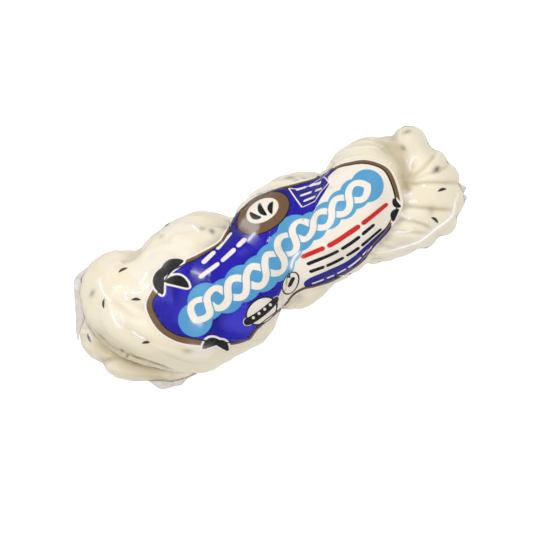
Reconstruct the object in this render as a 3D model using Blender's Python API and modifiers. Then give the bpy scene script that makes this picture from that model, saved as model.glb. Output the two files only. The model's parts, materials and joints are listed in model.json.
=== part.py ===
"""A hand-twisted rope of string cheese with caraway seeds, vacuum packed in clear film.

One bundle of strands is folded at the left end, its two plies wind round each other to
the right, and the strands fan out over the right end. The film clings to the cheese and
stands off it only as thin sealed fringes. +X runs along the rope, +Z is the printed side.
"""

import math
import random

import bmesh
import bpy
import numpy as np
from mathutils import Matrix, Vector
from mathutils.bvhtree import BVHTree

# Sizes in millimetres; the finished mesh is scaled to metres.
TO_METRES = 0.001

# The rope: two plies of one folded bundle.
QUARTER_TURNS_AT = (-76.0, -52.0, -27.0, -2.0, 15.5, 42.5, 69.0, 92.0)  # X of each quarter turn
FIRST_QUARTER = -2  # quarter turns of the upper ply at the first of them
TURN_EASING = 6.0  # mm over which one rate of turn passes into the next
PLY_OFFSET = 15.5  # from the rope's axis to the middle of a ply
PLY_ACROSS = 18.0  # half of a ply's section along that line
PLY_ALONG = 24.0  # half of its section square to it
GIRTH_AT = ((-90, 1.0), (-16, 1.0), (4, 0.87), (60, 0.85), (67, 0.8), (74, 0.62))  # X, girth
ROPE_LEFT, ROPE_RIGHT = -30.0, 73.0
PRESSED = 0.9  # height left after the rope is pressed flat in its pack

# The strands of the bundle.
STRANDS = 11
STRAND_RADIUS = 5.9
THINNEST, THICKEST = 0.92, 1.1  # share of that radius
UNEVEN_START = 0.12  # radians that a strand may start off its even place
TWIST_PER_MM = 6.0  # degrees that the strands turn in their ply for each mm of it
LOOP_TWIST_PER_MM = 1.6
CORES, CORE_SPACING, CORE_RADIUS = 3, 7.5, 9.0
AXIS_CORE_RADIUS = 12.5
AXIS_CORE_LEFT, AXIS_CORE_RIGHT = -62, 80
STEP, LOOP_STEP = 3.0, 1.0  # between two points of a strand

# The fold at the left end, from the upper ply round to the lower: middle of the bundle, girth.
LOOP = (
    (-36, 15.5, -2, 1.0),
    (-43, 14.5, -2, 0.97),
    (-50, 9, 0, 0.9),
    (-57, 14.8, 1, 1.0),
    (-63.2, 13.6, 1, 1.0),
    (-65, 4, 2, 1.0),
    (-57.5, -5, 2, 1.0),
    (-46, -13, 2, 1.0),
    (-36, -16.5, 0, 1.0),
)

# Single strands, as points of X, Y, Z and radius.
SINGLE = (
    # the tail tucked under the fold
    ((-74, 6, -12, 8.6), (-79, 5, -10.5, 8.6), (-81.5, 1, -10, 8.6), (-79, -4, -12.5, 8.6),
     (-70, -10, -15, 8.6)),
    ((-68, -2, -15, 8.8), (-76.5, -10, -11, 8.8), (-73, -17, -10.5, 8.8), (-62, -22.5, -10.5, 8.8),
     (-50, -23.5, -11.5, 8), (-38, -21, -12, 6)),
    ((-44, 20, -10, 8), (-56, 22, -12, 10.5), (-68, 16, -14, 10.5), (-72, 2, -14, 10.5),
     (-64, -10, -17, 10.5), (-48, -18, -15, 9.5), (-34, -15, -14, 8)),
    ((-44, 12, -14, 11), (-58, 6, -15, 11), (-52, -8, -15, 11)),
    # over the front of the fold, from the outermost strand inwards
    ((-44, 21, 2, 9), (-53, 21.3, 4, 11), (-61.5, 21.6, 6, 12), (-66.8, 20, 6.5, 12.2),
     (-69.4, 13.5, 7.5, 12.2), (-70, 5, 8.5, 12), (-66.5, -4, 9, 12), (-60.5, -11.5, 9, 11.5),
     (-51.5, -18.5, 7.5, 10.5), (-41, -23.5, 4.5, 9), (-30, -27, 1, 7)),
    ((-8, 20, 0, 6.5), (-20, 24.5, 4, 7), (-35, 24.5, 8.5, 7.5), (-47, 20, 13, 8.5),
     (-56, 13, 15, 9.5), (-60.5, 4, 15.5, 10), (-57.5, -6, 15, 9.5), (-49, -15, 13.5, 9),
     (-38, -21.5, 10, 8), (-26, -25.5, 5, 7)),
    ((-10, 15, 8, 6.5), (-22, 19.5, 12, 7), (-36, 19, 15, 7.5), (-46, 14.5, 17, 8.5), (-51, 7, 17, 9),
     (-50.5, -1, 17, 9), (-45, -9, 16.5, 8.5), (-36, -15.5, 14, 8), (-26, -20.5, 10, 7.5),
     (-16, -24, 5, 6.5)),
    ((-14, 8, 12, 7), (-26, 12, 15.5, 7.5), (-37, 11, 17.5, 8), (-42, 4, 18, 8.5), (-39, -4, 18, 8),
     (-30, -11, 16.5, 7.5), (-19, -17, 12.5, 7), (-9, -21, 7, 6.5)),
    ((-16, 4, 12, 7.5), (-27, 5, 16, 8), (-32, 0, 17, 8), (-28, -5, 16.5, 8), (-18, -10, 15, 7.5),
     (-6, -16, 10, 7)),
    # along the upper edge of the rope, and what fills the fold
    ((-4, 17, -4, 7), (-14, 24, -3, 7), (-26, 26, -1, 7), (-38, 25, 1, 7), (-47, 21, 2, 7)),
    ((-50, 5, 10, 11), (-40, 4, 12, 11), (-30, 5, 11, 11), (-20, 5, 6, 11)),
    # the last ply's strands, which fold down over the root of the fan, and its core
    ((36, -14, 3, 6), (43.5, -13.5, 8, 6.2), (50, -11.6, 11.5, 6.4), (57.5, -6.6, 14.5, 6.4),
     (64.5, 1.2, 15.5, 6.4), (71.6, 7.2, 14.8, 6.4), (74.8, 13.6, 10, 6.4), (71.2, 19.6, 3, 6.2),
     (61, 22.3, -4, 6)),
    ((42, -9, 11, 6), (51, -5, 15.5, 6.2), (58.5, 2, 17, 6.4), (66, 9, 16, 6.4), (67, 15, 12, 6.2),
     (61.5, 20, 7, 6), (53, 22, 2, 6), (44, 18, -2, 6)),
    ((46, -6, 13, 6.6), (56, 0, 17, 6.6), (61.5, 8, 16.5, 6.6), (59, 15, 13, 6.6), (51, 18, 9, 6.6),
     (44, 16, 4, 6.6)),
    ((46, 0, 3, 13), (56, 4, 4, 13), (66, 10, 2, 13)),
)

# Strands that fan out over the right end: where each leaves the rope, where it turns under,
# and its radius there.
FAN = (
    ((72, 12), (83.2, 16.6), 7.8),
    ((74, 8), (83.4, 10), 7.6),
    ((76, 3.5), (89.4, 4.2), 5.4),
    ((74, 1), (90.4, -3.8), 6.4),
    ((66, -3), (87, -11.6), 7.9),
    ((61, -8), (80.3, -18.4), 7.0),
    ((54, -12), (69.6, -20.4), 7.3),
    ((44, -14), (56, -19.6), 7.2),
)
FAN_ROOT_RADIUS = 5.0
FAN_TOP, FAN_BOTTOM = 17.4, -21.0  # highest and lowest point of a strand, from the rope's axis
FAN_POINTS = 15
FAN_REACH_POWER, FAN_HEIGHT_POWER = 0.75, 0.6  # under 1: a squarer bend than a half circle

# How the strands melt into one body.
VOXEL = 1.4
SMOOTH_ROUNDS = 6
CALM_ROUNDS = 38  # of smoothing, where the front is calm
AXIS_BLEND = 8.0  # mm over which the share kept above the axis passes into that below
ROPE_TRIANGLES = 9200
REST_HEIGHT = -24.2  # height of the flat resting spot, from the rope's axis

# How much of its width the melted rope keeps above and below its axis: X, share.
KEPT_ABOVE = (
    (-100, 1), (-60, 1), (-56, 0.97), (-52, 0.945), (-48, 0.905), (-44, 0.93), (-40, 0.955), (-32, 0.99),
    (-16, 0.985), (-12, 0.965), (-8, 0.94), (-4, 0.895), (0, 0.975), (8, 0.99), (16, 1.005), (24, 1.035),
    (32, 1.04), (40, 1.03), (44, 0.935), (52, 0.99), (60, 1.03), (68, 1.025), (72, 0.975), (80, 1.02),
    (100, 1),
)
KEPT_BELOW = (
    (-100, 1), (-88, 1), (-84, 0.96), (-80, 0.915), (-76, 0.915), (-72, 0.905), (-66, 0.94), (-60, 1),
    (-48, 1.05), (-40, 1.035), (-24, 1.01), (-12, 1.035), (-4, 1.01), (8, 0.985), (16, 0.945), (24, 0.86),
    (32, 0.9), (40, 0.985), (44, 1.06), (52, 0.99), (60, 0.975), (68, 1.02), (76, 1.06), (88, 1.1),
    (100, 1.05),
)

# Valleys between the plies, the fold, the tail and the fan; away from them the front is calm.
VALLEYS = (
    ((-2, -34), (0, -25), (5, -17), (10, -10), (14, 5), (31, 17), (44, 23), (46, 30)),
    ((74, 30), (76, 23), (80.6, 14.4), (77.5, 6), (75.6, 2.5), (68.8, -2.5), (62, -11), (57.5, -15),
     (45, -19.4)),
    ((-90, 12), (-82, 5), (-78, -8), (-70, -18), (-60, -26), (-52, -33), (-46, -38)),
    ((-50, 36), (-48, 28), (-44, 23)),
)
VALLEY_REACH = 4.5
CALM_FROM, CALM_TO = 0.15, 0.6  # how far up a surface faces where calming starts and is full
LINE_REACH = 4  # half widths beyond which a line has no effect
LINE_FADE = 0.2  # share of its length over which a line fades out at each end
LINE_STEEPNESS = 1.6

# Creases between the strands of the front: points, depth and half width.
CREASES = (
    (((-68, 15), (-66, 9.5), (-64.6, 6), (-62, 2), (-57, -1)), 0.7, 1.8),
    (((-67.4, 4), (-66.6, -1), (-63.5, -6.5), (-58.7, -12), (-52, -18.5), (-46, -24), (-40, -28)), 0.6, 2.0),
    (((-61.2, 13.5), (-60.4, 9), (-57.5, 5), (-54, 2.4)), 0.5, 1.5),
    (((-48.5, 29), (-51.5, 27.6), (-56, 26.6), (-61, 26.4)), 0.9, 1.8),
    (((-47.5, 27.4), (-40.6, 27.2), (-34.4, 25.8), (-28, 21.5), (-24, 17)), 0.5, 1.5),
    (((-46.5, 24.6), (-37.5, 22.8), (-32.5, 18.2)), 0.5, 1.6),
    (((-42, 30.6), (-32, 31), (-22, 29), (-14, 24)), 0.35, 1.3),
    (((-58, -17), (-53, -22.5), (-47, -27.5), (-39, -31)), 0.4, 1.2),
    (((-51, -18), (-46, -22.8), (-40, -27), (-32, -30.6)), 0.35, 1.2),
    (((-82.2, 10.5), (-81.2, 3.5), (-78.2, -4.4), (-73, -12.8), (-66.4, -20.6), (-59.4, -27.2), (-54, -31.6)),
     2.6, 2.4),
    (((75, 25), (77.4, 20), (78.2, 14.5), (78, 9), (75.6, 3.5), (70.5, -1.5)), 2.2, 3.4),
    (((71, 24), (74, 19), (75.4, 14), (75, 9), (72.5, 4), (67.5, 0)), 1.3, 3.6),
    (((-88, -7), (-84, -9.8), (-79, -10.4), (-74, -10.2)), 1.3, 1.3),
    (((-4, 21), (6, 24.5), (18, 26.2), (30, 25)), 0.35, 1.1),
    (((2, 23.5), (12, 27), (24, 27.8), (34, 26.5)), 0.3, 1.0),
    (((46, 25), (57.5, 26.5), (67.5, 25.2), (75.6, 20.6), (79, 15)), 0.45, 1.2),
    (((55, 24), (62, 24), (68.5, 21.5), (73.1, 17), (75.6, 11.5), (75, 6.2)), 0.3, 1.3),
    (((76, 2.4), (80.5, 3.3), (86, 5.2), (89.4, 6.8), (93, 9)), 1.0, 1.1),
    (((75.4, 1.3), (80, 1.1), (86, 0.5), (92, 0.1), (96, 0)), 0.7, 0.9),
    (((70, 0.6), (76, -0.6), (82.5, -3), (89, -6.2), (96, -9.2)), 1.1, 1.0),
    (((65.5, -5.5), (70, -8.6), (76, -12.4), (82, -16.2), (88, -19.5)), 1.1, 1.1),
    (((62, -10), (66.5, -14), (71, -18), (75, -23)), 1.0, 1.0),
    (((57, -13.5), (61.5, -17), (67, -20.4), (72, -23.4)), 0.9, 0.9),
    (((49.5, -16.4), (53.5, -21), (58, -25)), 0.9, 1.0),
    (((44, -18.4), (46.5, -22), (50, -26)), 0.9, 1.0),
    (((82, 19), (83.8, 14.5), (82.8, 10)), 0.5, 2.0),
)

# Film fringes: outline of each thin fin, and its height from the rope's axis.
FRINGES = {
    "left": (
        ((-68, 26), (-73.8, 31), (-80, 29.4), (-81.2, 25.5), (-85.6, 15.6), (-90.2, 8), (-82, 2), (-72, 10)),
        0.0,
    ),
    "lower": (
        ((-72, -16), (-78, -23), (-70, -26.5), (-68.8, -31), (-66, -33.8), (-57.5, -34.6), (-50, -32),
         (-50, -22)),
        -8.0,
    ),
    "right": (
        ((84, -4), (94.6, -8.5), (97, -12.2), (95, -14.6), (95.6, -16.6), (88, -22.6), (78, -18)),
        0.0,
    ),
}
FRINGE_THICKNESS = 0.9

# Caraway seeds: the ones that show on the front, as X, Y and heading in degrees.
SHOWN_SEEDS = (
    (-57, 23, 5),
    (-57.5, 8.5, -28),
    (-62, -10.5, -12),
    (-85, 3, 88),
    (-71, 13.5, 60),
    (86, -8.5, -12),
    (77, -19, -65),
)
SEED_LENGTH, SEED_WIDTH = 4.8, 1.6
SEED_SIDES, SEED_RINGS = 6, 4
SEED_SUNK = 0.35  # a seed's middle lies this far under the surface
OTHER_SEEDS = 30
OTHER_SEEDS_LEFT, OTHER_SEEDS_RIGHT = -78.0, 88.0
GOLDEN_ANGLE = 137.5
OTHER_SEEDS_ARC = (8.0, -188.0)  # degrees round the rope left free of print, from +Y under to -Y
RANDOM_SEED = 7

CHEESE = (0.90, 0.84, 0.66)


def clear_scene():
    for obj in list(bpy.data.objects):
        bpy.data.objects.remove(obj, do_unlink=True)


def new_collection(name, hidden=False):
    made = bpy.data.collections.new(name)
    bpy.context.scene.collection.children.link(made)
    made.hide_render = hidden
    return made


def cheese_material():
    made = bpy.data.materials.new("wrapped_cheese")
    made.use_nodes = True
    shader = made.node_tree.nodes["Principled BSDF"]
    shader.inputs["Base Color"].default_value = (*CHEESE, 1)
    shader.inputs["Roughness"].default_value = 0.28
    shader.inputs["Metallic"].default_value = 0.0
    return made


def between(table, x):
    """The value at x of a table of (x, value), with straight lines between its rows."""
    for (x0, y0), (x1, y1) in zip(table, table[1:]):
        if x <= x1:
            return y0 + (y1 - y0) * max((x - x0) / (x1 - x0), 0.0)
    return table[-1][1]


def smooth_through(points, step):
    """A smooth curve through the points, as points about step apart."""
    points = [Vector(p) for p in points]
    ends = [points[0] * 2 - points[1], *points, points[-1] * 2 - points[-2]]
    path = []
    for a, b, c, d in zip(ends, ends[1:], ends[2:], ends[3:]):
        count = max(2, round((c - b).length / step))
        for t in (i / count for i in range(count)):
            bend = (2 * a - 5 * b + 4 * c - d) * t**2 + (3 * b - a - 3 * c + d) * t**3
            path.append((2 * b + (c - a) * t + bend) / 2)
    return path + [points[-1]]


def turn_at(x):
    """Angle of the upper ply round the rope's axis: 0 at +Y, and a quarter turn at +Z."""
    table = [(at, -(FIRST_QUARTER + i) * math.pi / 2) for i, at in enumerate(QUARTER_TURNS_AT)]
    nearby = [x + TURN_EASING * share for share in (-1, -0.5, 0, 0.5, 1)]
    return sum(between(table, place) for place in nearby) / len(nearby)


def ply_stations(xs, side):
    """Stations along one ply: its middle, outward and sideways directions, and its girth."""
    stations = []
    for x in xs:
        angle = turn_at(x) + (0 if side > 0 else math.pi)
        girth = between(GIRTH_AT, x)
        out = Vector((0, math.cos(angle), math.sin(angle)))
        sideways = Vector((0, -math.sin(angle), math.cos(angle))) * side
        stations.append((Vector((x, 0, 0)) + out * PLY_OFFSET * girth, out, sideways, girth))
    return stations


def loop_stations():
    bend = smooth_through(LOOP, LOOP_STEP)
    stations = []
    for before, here, after in zip(bend, bend[1:], bend[2:]):
        along = after - before
        out = Vector((along.y, -along.x, 0)).normalized()
        stations.append((here.xyz, out, Vector((0, 0, 1)), here.w))
    return stations


def bundle_stations():
    """The folded bundle: in along the upper ply, round the fold and out along the lower."""
    count = round((ROPE_RIGHT - ROPE_LEFT) / (STEP * 0.7))
    xs = [ROPE_LEFT + (ROPE_RIGHT - ROPE_LEFT) * i / count for i in range(count + 1)]
    return ply_stations(xs[::-1], 1) + loop_stations() + ply_stations(xs, -1)


def twists(stations):
    """How far the strands have turned in the bundle at each station, in radians."""
    turned = [0.0]
    for (here, *_), (after, *_) in zip(stations, stations[1:]):
        rate = LOOP_TWIST_PER_MM if here.x < ROPE_LEFT else TWIST_PER_MM
        turned.append(turned[-1] - math.radians(rate) * (after - here).length)
    return turned


def bundle_tubes():
    """The bundle's strands and the cores that fill it, each as a path and its radii."""
    stations = bundle_stations()
    turned = twists(stations)
    rng = random.Random(RANDOM_SEED)
    tubes = []
    for k in range(STRANDS):
        start = math.tau * k / STRANDS + rng.uniform(-UNEVEN_START, UNEVEN_START)
        thick = STRAND_RADIUS * rng.uniform(THINNEST, THICKEST)
        path = []
        for (middle, out, sideways, girth), twist in zip(stations, turned):
            angle = start + twist
            outward = out * (PLY_ACROSS - thick) * math.cos(angle)
            path.append(middle + (outward + sideways * (PLY_ALONG - thick) * math.sin(angle)) * girth)
        tubes.append((path, [thick * girth for *_, girth in stations]))
    for k in range(CORES):
        shift = (k - (CORES - 1) / 2) * CORE_SPACING
        path = [middle + sideways * shift * girth for middle, _, sideways, girth in stations]
        tubes.append((path, [CORE_RADIUS * girth for *_, girth in stations]))
    return tubes


def single_tubes():
    """The single strands and the core on the axis."""
    tubes = []
    for points in SINGLE:
        path = smooth_through(points, STEP)
        tubes.append(([point.xyz for point in path], [point.w for point in path]))
    axis = [Vector((x, 0, 0)) for x in range(AXIS_CORE_LEFT, AXIS_CORE_RIGHT, round(STEP))]
    tubes.append((axis, [AXIS_CORE_RADIUS * between(GIRTH_AT, p.x) for p in axis]))
    return tubes


def fan_tubes():
    """Half rings that leave the front of the rope, pass over its end and come back behind."""
    middle = (FAN_TOP + FAN_BOTTOM) / 2
    tubes = []
    for start, end, thick in FAN:
        path, radii = [], []
        for i in range(FAN_POINTS):
            around = math.pi * i / (FAN_POINTS - 1)
            reach = math.sin(around) ** FAN_REACH_POWER
            radius = FAN_ROOT_RADIUS + (thick - FAN_ROOT_RADIUS) * reach
            drop = math.cos(around)
            rise = math.copysign(abs(drop) ** FAN_HEIGHT_POWER, drop)
            height = middle + rise * (FAN_TOP - middle - radius)
            flat = Vector(start).lerp(Vector(end), reach)
            path.append(Vector((flat.x, flat.y, height)))
            radii.append(radius)
        tubes.append((path, radii))
    return tubes


def mesh_from_curve(curve):
    """The curve's mesh with its caps welded on; the curve is removed."""
    bpy.context.view_layer.update()
    graph = bpy.context.evaluated_depsgraph_get()
    mesh = bpy.data.meshes.new_from_object(curve.evaluated_get(graph))
    mesh.transform(curve.matrix_world)
    bpy.data.objects.remove(curve, do_unlink=True)
    edit = bmesh.new()
    edit.from_mesh(mesh)
    bmesh.ops.remove_doubles(edit, verts=edit.verts, dist=1e-4)
    bmesh.ops.recalc_face_normals(edit, faces=edit.faces)
    bmesh.ops.triangulate(edit, faces=edit.faces)
    edit.to_mesh(mesh)
    edit.free()
    return mesh


def add_object(name, data, collection):
    made = bpy.data.objects.new(name, data)
    collection.objects.link(made)
    return made


def strand_mesh(tubes, collection):
    """The tubes as one mesh of closed shells that overlap."""
    data = bpy.data.curves.new("strands", "CURVE")
    data.dimensions = "3D"
    data.bevel_depth = 1.0
    data.bevel_resolution = 5
    data.use_fill_caps = True
    for path, radii in tubes:
        spline = data.splines.new("POLY")
        spline.points.add(len(path) - 1)
        for point, place, radius in zip(spline.points, path, radii):
            point.co = (*place, 1)
            point.radius = radius
    return mesh_from_curve(add_object("strands", data, collection))


def apply_modifiers(obj):
    bpy.context.view_layer.update()
    graph = bpy.context.evaluated_depsgraph_get()
    mesh = bpy.data.meshes.new_from_object(obj.evaluated_get(graph))
    obj.modifiers.clear()
    obj.data = mesh


def read_vectors(mesh, name):
    """The vertices' "co" or "normal" as rows."""
    flat = np.empty(len(mesh.vertices) * 3, np.float32)
    mesh.vertices.foreach_get(name, flat)
    return flat.reshape(-1, 3).astype(np.float64)


def write_places(mesh, places):
    mesh.vertices.foreach_set("co", places.astype(np.float32).reshape(-1))
    mesh.update()


def softened_places(mesh, rounds, collection):
    """Where the vertices lie after this many rounds of smoothing."""
    helper = add_object("softened", mesh.copy(), collection)
    soften = helper.modifiers.new("soften", "SMOOTH")
    soften.factor = 0.5
    soften.iterations = rounds
    apply_modifiers(helper)
    places = read_vectors(helper.data, "co")
    bpy.data.objects.remove(helper, do_unlink=True)
    return places


def line_gaps(spots, path):
    """Distance from each spot to an open path, and how far along it the nearest point lies, 0 to 1."""
    path = np.array(path, float)
    lengths = np.linalg.norm(np.diff(path, axis=0), axis=1)
    starts = np.concatenate(([0], np.cumsum(lengths)))
    nearest, share = np.full(len(spots), np.inf), np.zeros(len(spots))
    for a, b, length, start in zip(path, path[1:], lengths, starts):
        along = (spots - a) @ (b - a) / length**2
        along = np.clip(along, 0, 1)
        gap = ((spots - a - along[:, None] * (b - a)) ** 2).sum(axis=1)
        closer = gap < nearest
        nearest[closer] = gap[closer]
        share[closer] = (start + along[closer] * length) / starts[-1]
    return np.sqrt(nearest), share


def lines_profile(places, normals, lines):
    """Depth at each place of the creases drawn over the front, fading towards their ends."""
    depths = np.zeros(len(places))
    front = np.flatnonzero(normals[:, 2] > 0)
    spots = places[front, :2]
    for path, depth, width in lines:
        fine = [tuple(p) for p in smooth_through(path, 1.0)]
        reach = LINE_REACH * width
        low, high = np.min(fine, axis=0) - reach, np.max(fine, axis=0) + reach
        near = ((spots > low) & (spots < high)).all(axis=1)
        gaps, share = line_gaps(spots[near], fine)
        ends = np.clip(np.minimum(share, 1 - share) / LINE_FADE, 0, 1)
        depths[front[near]] += depth * ends / np.cosh(gaps / width * LINE_STEEPNESS)
    return depths


def calmed(mesh, places, normals, rounds, collection):
    """The places with the strands' ridges eased on the front, away from the valleys."""
    weight = np.clip((normals[:, 2] - CALM_FROM) / (CALM_TO - CALM_FROM), 0, 1)
    for path in VALLEYS:
        fine = [tuple(p) for p in smooth_through(path, 2.0)]
        gaps, _ = line_gaps(places[:, :2], fine)
        weight *= np.clip(gaps / VALLEY_REACH, 0, 1)
    return places + (softened_places(mesh, rounds, collection) - places) * weight[:, None]


def kept_width(places):
    """The places with the rope's width eased to its outline, above the axis and below."""
    xs = places[:, 0]
    shares = []
    for table in (KEPT_ABOVE, KEPT_BELOW):
        path = smooth_through(table, 1.0)
        shares.append(np.interp(xs, [p.x for p in path], [p.y for p in path]))
    above = np.clip(places[:, 1] / AXIS_BLEND + 0.5, 0, 1)
    places[:, 1] *= shares[0] * above + shares[1] * (1 - above)
    return places


def shape_front(rope, collection):
    """Bring the melted rope to its outline, calm the front and draw its creases."""
    mesh = rope.data
    write_places(mesh, kept_width(read_vectors(mesh, "co")))
    places = calmed(mesh, read_vectors(mesh, "co"), read_vectors(mesh, "normal"), CALM_ROUNDS, collection)
    write_places(mesh, places)
    normals = read_vectors(mesh, "normal")
    write_places(mesh, places - normals * lines_profile(places, normals, CREASES)[:, None])


def fuse(rope, collection):
    """Melt the strands into one soft body, press it flat and bring it down in triangles."""
    remesh = rope.modifiers.new("fuse", "REMESH")
    remesh.mode = "VOXEL"
    remesh.voxel_size = VOXEL
    soften = rope.modifiers.new("soften", "SMOOTH")
    soften.factor = 0.5
    soften.iterations = SMOOTH_ROUNDS
    apply_modifiers(rope)
    shape_front(rope, collection)
    rope.data.transform(Matrix.Diagonal((1, 1, PRESSED, 1)))
    rope.data.calc_loop_triangles()
    thin_out = rope.modifiers.new("thin_out", "DECIMATE")
    thin_out.ratio = ROPE_TRIANGLES / len(rope.data.loop_triangles)
    thin_out.use_collapse_triangulate = True
    apply_modifiers(rope)


def add_fringe(name, outline, height, collection):
    """A thin flat fin of film that stands out from the cheese."""
    data = bpy.data.curves.new(name, "CURVE")
    data.dimensions = "2D"
    data.fill_mode = "BOTH"
    data.extrude = FRINGE_THICKNESS / 2
    spline = data.splines.new("POLY")
    spline.use_cyclic_u = True
    spline.points.add(len(outline) - 1)
    for point, (x, y) in zip(spline.points, outline):
        point.co = (x, y, 0, 1)
    curve = add_object(name, data, collection)
    curve.location.z = height
    add_object(name, mesh_from_curve(curve), collection)


def add_seed(name, surface, origin, direction, heading, collection):
    """A half-sunk seed where a line from origin meets the surface, its length along heading."""
    place, normal, _, _ = surface.ray_cast(origin, direction)
    if place.z < REST_HEIGHT + SEED_LENGTH / 2:
        return
    along = (heading - normal * heading.dot(normal)).normalized()
    turned = Matrix((along, normal.cross(along), normal)).transposed().to_4x4()
    size = Matrix.Diagonal((SEED_LENGTH / 2, SEED_WIDTH / 2, SEED_WIDTH / 2, 1))
    lying = Matrix.Rotation(math.pi / 2, 4, "Y")
    edit = bmesh.new()
    bmesh.ops.create_uvsphere(
        edit,
        u_segments=SEED_SIDES,
        v_segments=SEED_RINGS,
        radius=1,
        matrix=Matrix.Translation(place - normal * SEED_SUNK) @ turned @ size @ lying,
    )
    bmesh.ops.triangulate(edit, faces=edit.faces)
    bmesh.ops.recalc_face_normals(edit, faces=edit.faces)
    mesh = bpy.data.meshes.new(name)
    edit.to_mesh(mesh)
    edit.free()
    add_object(name, mesh, collection)


def add_seeds(rope, collection):
    surface = BVHTree.FromObject(rope, bpy.context.evaluated_depsgraph_get())
    rng = random.Random(RANDOM_SEED)
    far = 100.0
    for i, (x, y, degrees) in enumerate(SHOWN_SEEDS):
        heading = Vector((math.cos(math.radians(degrees)), math.sin(math.radians(degrees)), 0))
        add_seed(f"shown_seed_{i}", surface, Vector((x, y, far)), Vector((0, 0, -1)), heading, collection)
    first, last = OTHER_SEEDS_ARC
    for i in range(OTHER_SEEDS):
        x = OTHER_SEEDS_LEFT + (OTHER_SEEDS_RIGHT - OTHER_SEEDS_LEFT) * (i + 0.5) / OTHER_SEEDS
        around = math.radians(first + (last - first) * (i * GOLDEN_ANGLE / 360 % 1))
        out = Vector((0, math.cos(around), math.sin(around)))
        heading = Vector((rng.uniform(-1, 1), rng.uniform(-1, 1), rng.uniform(-1, 1)))
        add_seed(f"seed_{i}", surface, Vector((x, 0, 0)) + out * far, -out, heading, collection)


def unite(rope, additions):
    """Join everything in the collection to the rope, then remove the joined objects."""
    join = rope.modifiers.new("join", "BOOLEAN")
    join.operation = "UNION"
    join.operand_type = "COLLECTION"
    join.collection = additions
    join.solver = "EXACT"
    apply_modifiers(rope)
    for obj in list(additions.objects):
        bpy.data.objects.remove(obj, do_unlink=True)


def flatten_underneath(rope):
    """Cut the flat spot that the pack rests on."""
    edit = bmesh.new()
    edit.from_mesh(rope.data)
    cut = bmesh.ops.bisect_plane(
        edit,
        geom=[*edit.verts, *edit.edges, *edit.faces],
        plane_co=(0, 0, REST_HEIGHT),
        plane_no=(0, 0, 1),
        clear_inner=True,
    )
    rim = [item for item in cut["geom_cut"] if isinstance(item, bmesh.types.BMEdge)]
    filled = bmesh.ops.holes_fill(edit, edges=rim)
    bmesh.ops.triangulate(edit, faces=filled["faces"])
    bmesh.ops.recalc_face_normals(edit, faces=edit.faces)
    edit.to_mesh(rope.data)
    edit.free()


def place_in_frame(rope):
    """Origin under the middle of the pack, at the height it rests on, in metres."""
    lows = [min(v.co[axis] for v in rope.data.vertices) for axis in range(3)]
    highs = [max(v.co[axis] for v in rope.data.vertices) for axis in range(3)]
    middle = Vector(((lows[0] + highs[0]) / 2, (lows[1] + highs[1]) / 2, lows[2]))
    rope.data.transform(Matrix.Scale(TO_METRES, 4) @ Matrix.Translation(-middle))


def main():
    clear_scene()
    pack = new_collection("string_cheese_pack")
    additions = new_collection("additions", hidden=True)
    mesh = strand_mesh(bundle_tubes() + single_tubes() + fan_tubes(), pack)
    rope = add_object("wrapped_braid", mesh, pack)
    fuse(rope, pack)
    flatten_underneath(rope)
    for name, (outline, height) in FRINGES.items():
        add_fringe(name, outline, height, additions)
    add_seeds(rope, additions)
    unite(rope, additions)
    place_in_frame(rope)
    rope.data.materials.clear()
    rope.data.materials.append(cheese_material())
    rope.data.shade_smooth()


main()
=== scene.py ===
"""Looks of a vacuum packed rope of string cheese: the cheese, its seeds, film, print and stage."""

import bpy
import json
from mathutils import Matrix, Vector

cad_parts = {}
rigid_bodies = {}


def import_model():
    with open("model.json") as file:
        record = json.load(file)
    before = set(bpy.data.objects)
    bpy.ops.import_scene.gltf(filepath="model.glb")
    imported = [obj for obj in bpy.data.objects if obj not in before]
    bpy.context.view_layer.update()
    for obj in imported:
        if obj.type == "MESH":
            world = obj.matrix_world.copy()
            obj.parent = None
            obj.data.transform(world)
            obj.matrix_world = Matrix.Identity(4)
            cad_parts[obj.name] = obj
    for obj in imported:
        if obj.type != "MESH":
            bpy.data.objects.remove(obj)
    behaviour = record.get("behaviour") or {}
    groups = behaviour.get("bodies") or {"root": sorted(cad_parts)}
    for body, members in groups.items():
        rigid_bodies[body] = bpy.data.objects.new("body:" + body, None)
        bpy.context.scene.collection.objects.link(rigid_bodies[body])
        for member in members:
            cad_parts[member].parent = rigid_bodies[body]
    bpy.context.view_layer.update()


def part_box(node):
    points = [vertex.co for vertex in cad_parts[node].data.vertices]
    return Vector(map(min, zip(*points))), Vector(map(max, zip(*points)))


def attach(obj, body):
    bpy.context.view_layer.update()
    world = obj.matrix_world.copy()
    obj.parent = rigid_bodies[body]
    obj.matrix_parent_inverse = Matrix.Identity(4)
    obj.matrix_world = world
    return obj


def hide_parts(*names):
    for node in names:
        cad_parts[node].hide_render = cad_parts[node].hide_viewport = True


bl_info = {
    "name": "String Cheese Pack",
    "version": (1, 0, 0),
    "blender": (4, 5, 0),
    "location": "View3D > Sidebar > String Cheese",
    "description": "Builds a hand-twisted rope of string cheese in clear printed film",
    "category": "Add Mesh",
}

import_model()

import contextlib
import json
import math
import random

import bmesh
import bpy
import numpy as np
from bpy.props import FloatProperty, FloatVectorProperty, IntProperty, PointerProperty
from mathutils import Matrix, Vector, noise
from mathutils.bvhtree import BVHTree

NODE = "wrapped_braid"
ROPE_LOW = (-90.2, -34.6, -24.2)  # the CAD node's lowest corner, in the rope's own millimetres
MM = 0.001
FAR = 100.0  # a height above the whole rope, where rays that look down on it start
WELD, TINY = 1e-4, 1e-6
SMOOTH_FACTOR = 0.5  # of each round of smoothing
# Spacing of the points on the drawn lines, in millimetres.
LINE_STEP, VALLEY_STEP, OUTLINE_STEP, FIELD_STEP, FINE_STEP, TWIST_STEP = 1.0, 2.0, 2.0, 1.5, 0.5, 0.7

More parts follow.
